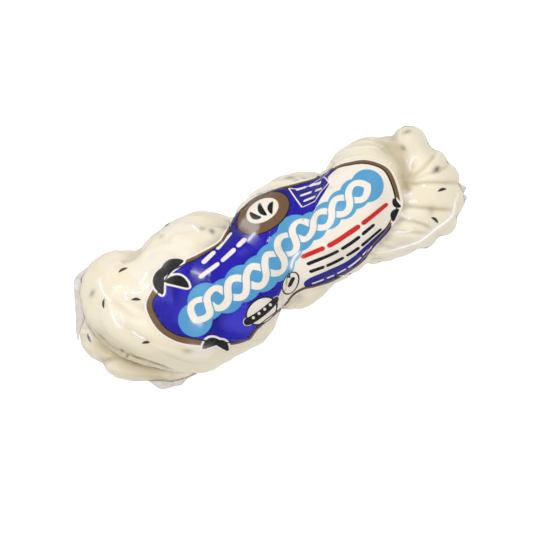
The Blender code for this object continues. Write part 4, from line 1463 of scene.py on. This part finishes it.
class STRINGCHEESE_OT_cheese(bpy.types.Operator):
    """Make the cheese: a folded, twisted bundle of strands"""

    bl_idname = "string_cheese.cheese"
    bl_label = "Cheese"

    def execute(self, context):
        settings = context.scene.string_cheese
        look = settings.cheese
        rope = melted_rope(look.voxel / MM, look.soften, look.calm, settings.film.gap / MM)
        mesh = rope.data
        places, normals = places_and_normals(mesh)
        # painted shade: how deep each place lies in the grooves
        groove = depth_below_softened(mesh, places, normals, settings.film.bridge) / GROOVE_SHADE_DEPTH
        # painted shade: how deep each place lies in the wide valleys, plus the shaded valleys listed
        hollow = depth_below_softened(mesh, places, normals, VALLEY_SHADE_ROUNDS) / VALLEY_SHADE_DEPTH
        shaded = np.clip(hollow, 0, 1) + lines_profile(places, normals, SHADED)
        write_attribute(mesh, "groove", np.clip(groove, 0, 1))
        write_attribute(mesh, "hollow", np.clip(shaded, 0, 1))
        write_attribute(mesh, "buried", buried_shade(surface_of(mesh), places))
        finish_piece(rope, cheese_finish(look))
        return {"FINISHED"}


class STRINGCHEESE_OT_seeds(bpy.types.Operator):
    """Set the caraway seeds into the cheese"""

    bl_idname = "string_cheese.seeds"
    bl_label = "Caraway Seeds"

    def execute(self, context):
        look = context.scene.string_cheese.seeds
        surface = surface_of(in_rope_frame(made_piece("cheese")))
        edit = bmesh.new()
        for place, normal, heading in seed_spots(surface):
            lay_seed(edit, place, normal, heading, look.length / MM / 2, look.width / MM / 2)
        bmesh.ops.recalc_face_normals(edit, faces=edit.faces)
        finish_piece(link("seeds", mesh_from_edit(edit, "seeds")), seed_finish(look))
        return {"FINISHED"}


class STRINGCHEESE_OT_film(bpy.types.Operator):
    """Shrink the clear film onto the cheese"""

    bl_idname = "string_cheese.film"
    bl_label = "Clear Film"

    def execute(self, context):
        look = context.scene.string_cheese.film
        mesh = in_rope_frame(made_piece("cheese"))
        for name in ("groove", "hollow", "buried"):
            mesh.attributes.remove(mesh.attributes[name])
        shrink_film(mesh, look.bridge, look.taut, look.gap / MM)
        finer_near(mesh, FILM_FOLDS)
        places, normals = places_and_normals(mesh)
        raised = lines_profile(places, normals, FILM_FOLDS)
        # painted glints: how white each fold is drawn
        write_attribute(mesh, "crease", np.clip(raised / CREASE_HEIGHT, 0, 1))
        # painted sheen: a broad soft white round the folds and along the crests
        broad = [(path, height / CREASE_HEIGHT, GLARE_WIDTH) for path, height, *_ in FILM_FOLDS + GLARES]
        write_attribute(mesh, "glare", np.clip(lines_profile(places, normals, broad), 0, 1))
        places += normals * raised[:, None]
        places[:, 2] = np.maximum(places[:, 2], REST_HEIGHT)
        write_places(mesh, places)
        finish_piece(link("film", mesh), film_finish(look))
        return {"FINISHED"}


class STRINGCHEESE_OT_print(bpy.types.Operator):
    """Print the design under the film"""

    bl_idname = "string_cheese.print"
    bl_label = "Print"

    def execute(self, context):
        look = context.scene.string_cheese.print
        mesh = in_rope_frame(made_piece("film"))
        surface = surface_of(mesh)
        places, normals = places_and_normals(mesh)
        kept = inked(Artboard(places, surface))
        write_places(mesh, places - normals * look.depth / MM)
        keep_finer(mesh, kept)
        for name, distances in design_layers(Artboard(read_rows(mesh, "co"), surface)).items():
            write_attribute(mesh, name, distances)
        finish_piece(link("print", mesh), print_finish(look))
        return {"FINISHED"}


class STRINGCHEESE_OT_fringes(bpy.types.Operator):
    """Gather the film into fringes at both ends"""

    bl_idname = "string_cheese.fringes"
    bl_label = "Film Fringes"

    def execute(self, context):
        look = context.scene.string_cheese.film
        material = fringe_finish(look)
        for name, (outer, inner, height) in FRINGES.items():
            piece = link(f"fringe_{name}", fringe_mesh(outer, inner, height, look.crimp / MM))
            solid = piece.modifiers.new("thickness", "SOLIDIFY")
            solid.thickness = look.fringe_thickness / MM
            solid.offset = 0
            apply_modifiers(piece)
            finish_piece(piece, material)
        return {"FINISHED"}


class STRINGCHEESE_OT_stage(bpy.types.Operator):
    """Set the floor, the soft lights and the camera"""

    bl_idname = "string_cheese.stage"
    bl_label = "Stage"

    def execute(self, context):
        look = context.scene.string_cheese.stage
        scene = context.scene
        lay_floor(look)
        scene.world = soft_world(look.light)
        middle = rope_to_model() @ Vector((*LOOKED_AT, 0))
        hang_lights(middle)
        scene.camera = camera_over(middle, look)
        scene.view_settings.view_transform = "Standard"
        scene.view_settings.look = "None"
        return {"FINISHED"}


OPERATORS = (
    STRINGCHEESE_OT_cheese,
    STRINGCHEESE_OT_seeds,
    STRINGCHEESE_OT_film,
    STRINGCHEESE_OT_print,
    STRINGCHEESE_OT_fringes,
    STRINGCHEESE_OT_stage,
)


class STRINGCHEESE_PT_panel(bpy.types.Panel):
    """Sizes, colours and steps of the pack"""

    bl_label = "String Cheese"
    bl_space_type = "VIEW_3D"
    bl_region_type = "UI"
    bl_category = "String Cheese"

    def draw(self, context):
        settings = context.scene.string_cheese
        for name in StringCheeseSettings.__annotations__:
            group = getattr(settings, name)
            box = self.layout.box()
            box.label(text=name.title())
            for value in group.__annotations__:
                box.prop(group, value)
        for operator in OPERATORS:
            self.layout.operator(operator.bl_idname)


CLASSES = (
    CheeseSettings,
    SeedSettings,
    FilmSettings,
    PrintSettings,
    StageSettings,
    StringCheeseSettings,
    *OPERATORS,
    STRINGCHEESE_PT_panel,
)


def register():
    for made in CLASSES:
        bpy.utils.register_class(made)
    bpy.types.Scene.string_cheese = PointerProperty(type=StringCheeseSettings)


def unregister():
    del bpy.types.Scene.string_cheese
    for made in reversed(CLASSES):
        bpy.utils.unregister_class(made)


def main():
    register()
    bpy.ops.string_cheese.cheese()
    bpy.ops.string_cheese.seeds()
    bpy.ops.string_cheese.film()
    bpy.ops.string_cheese.print()
    bpy.ops.string_cheese.fringes()
    bpy.ops.string_cheese.stage()


if __name__ == "__main__":
    main()
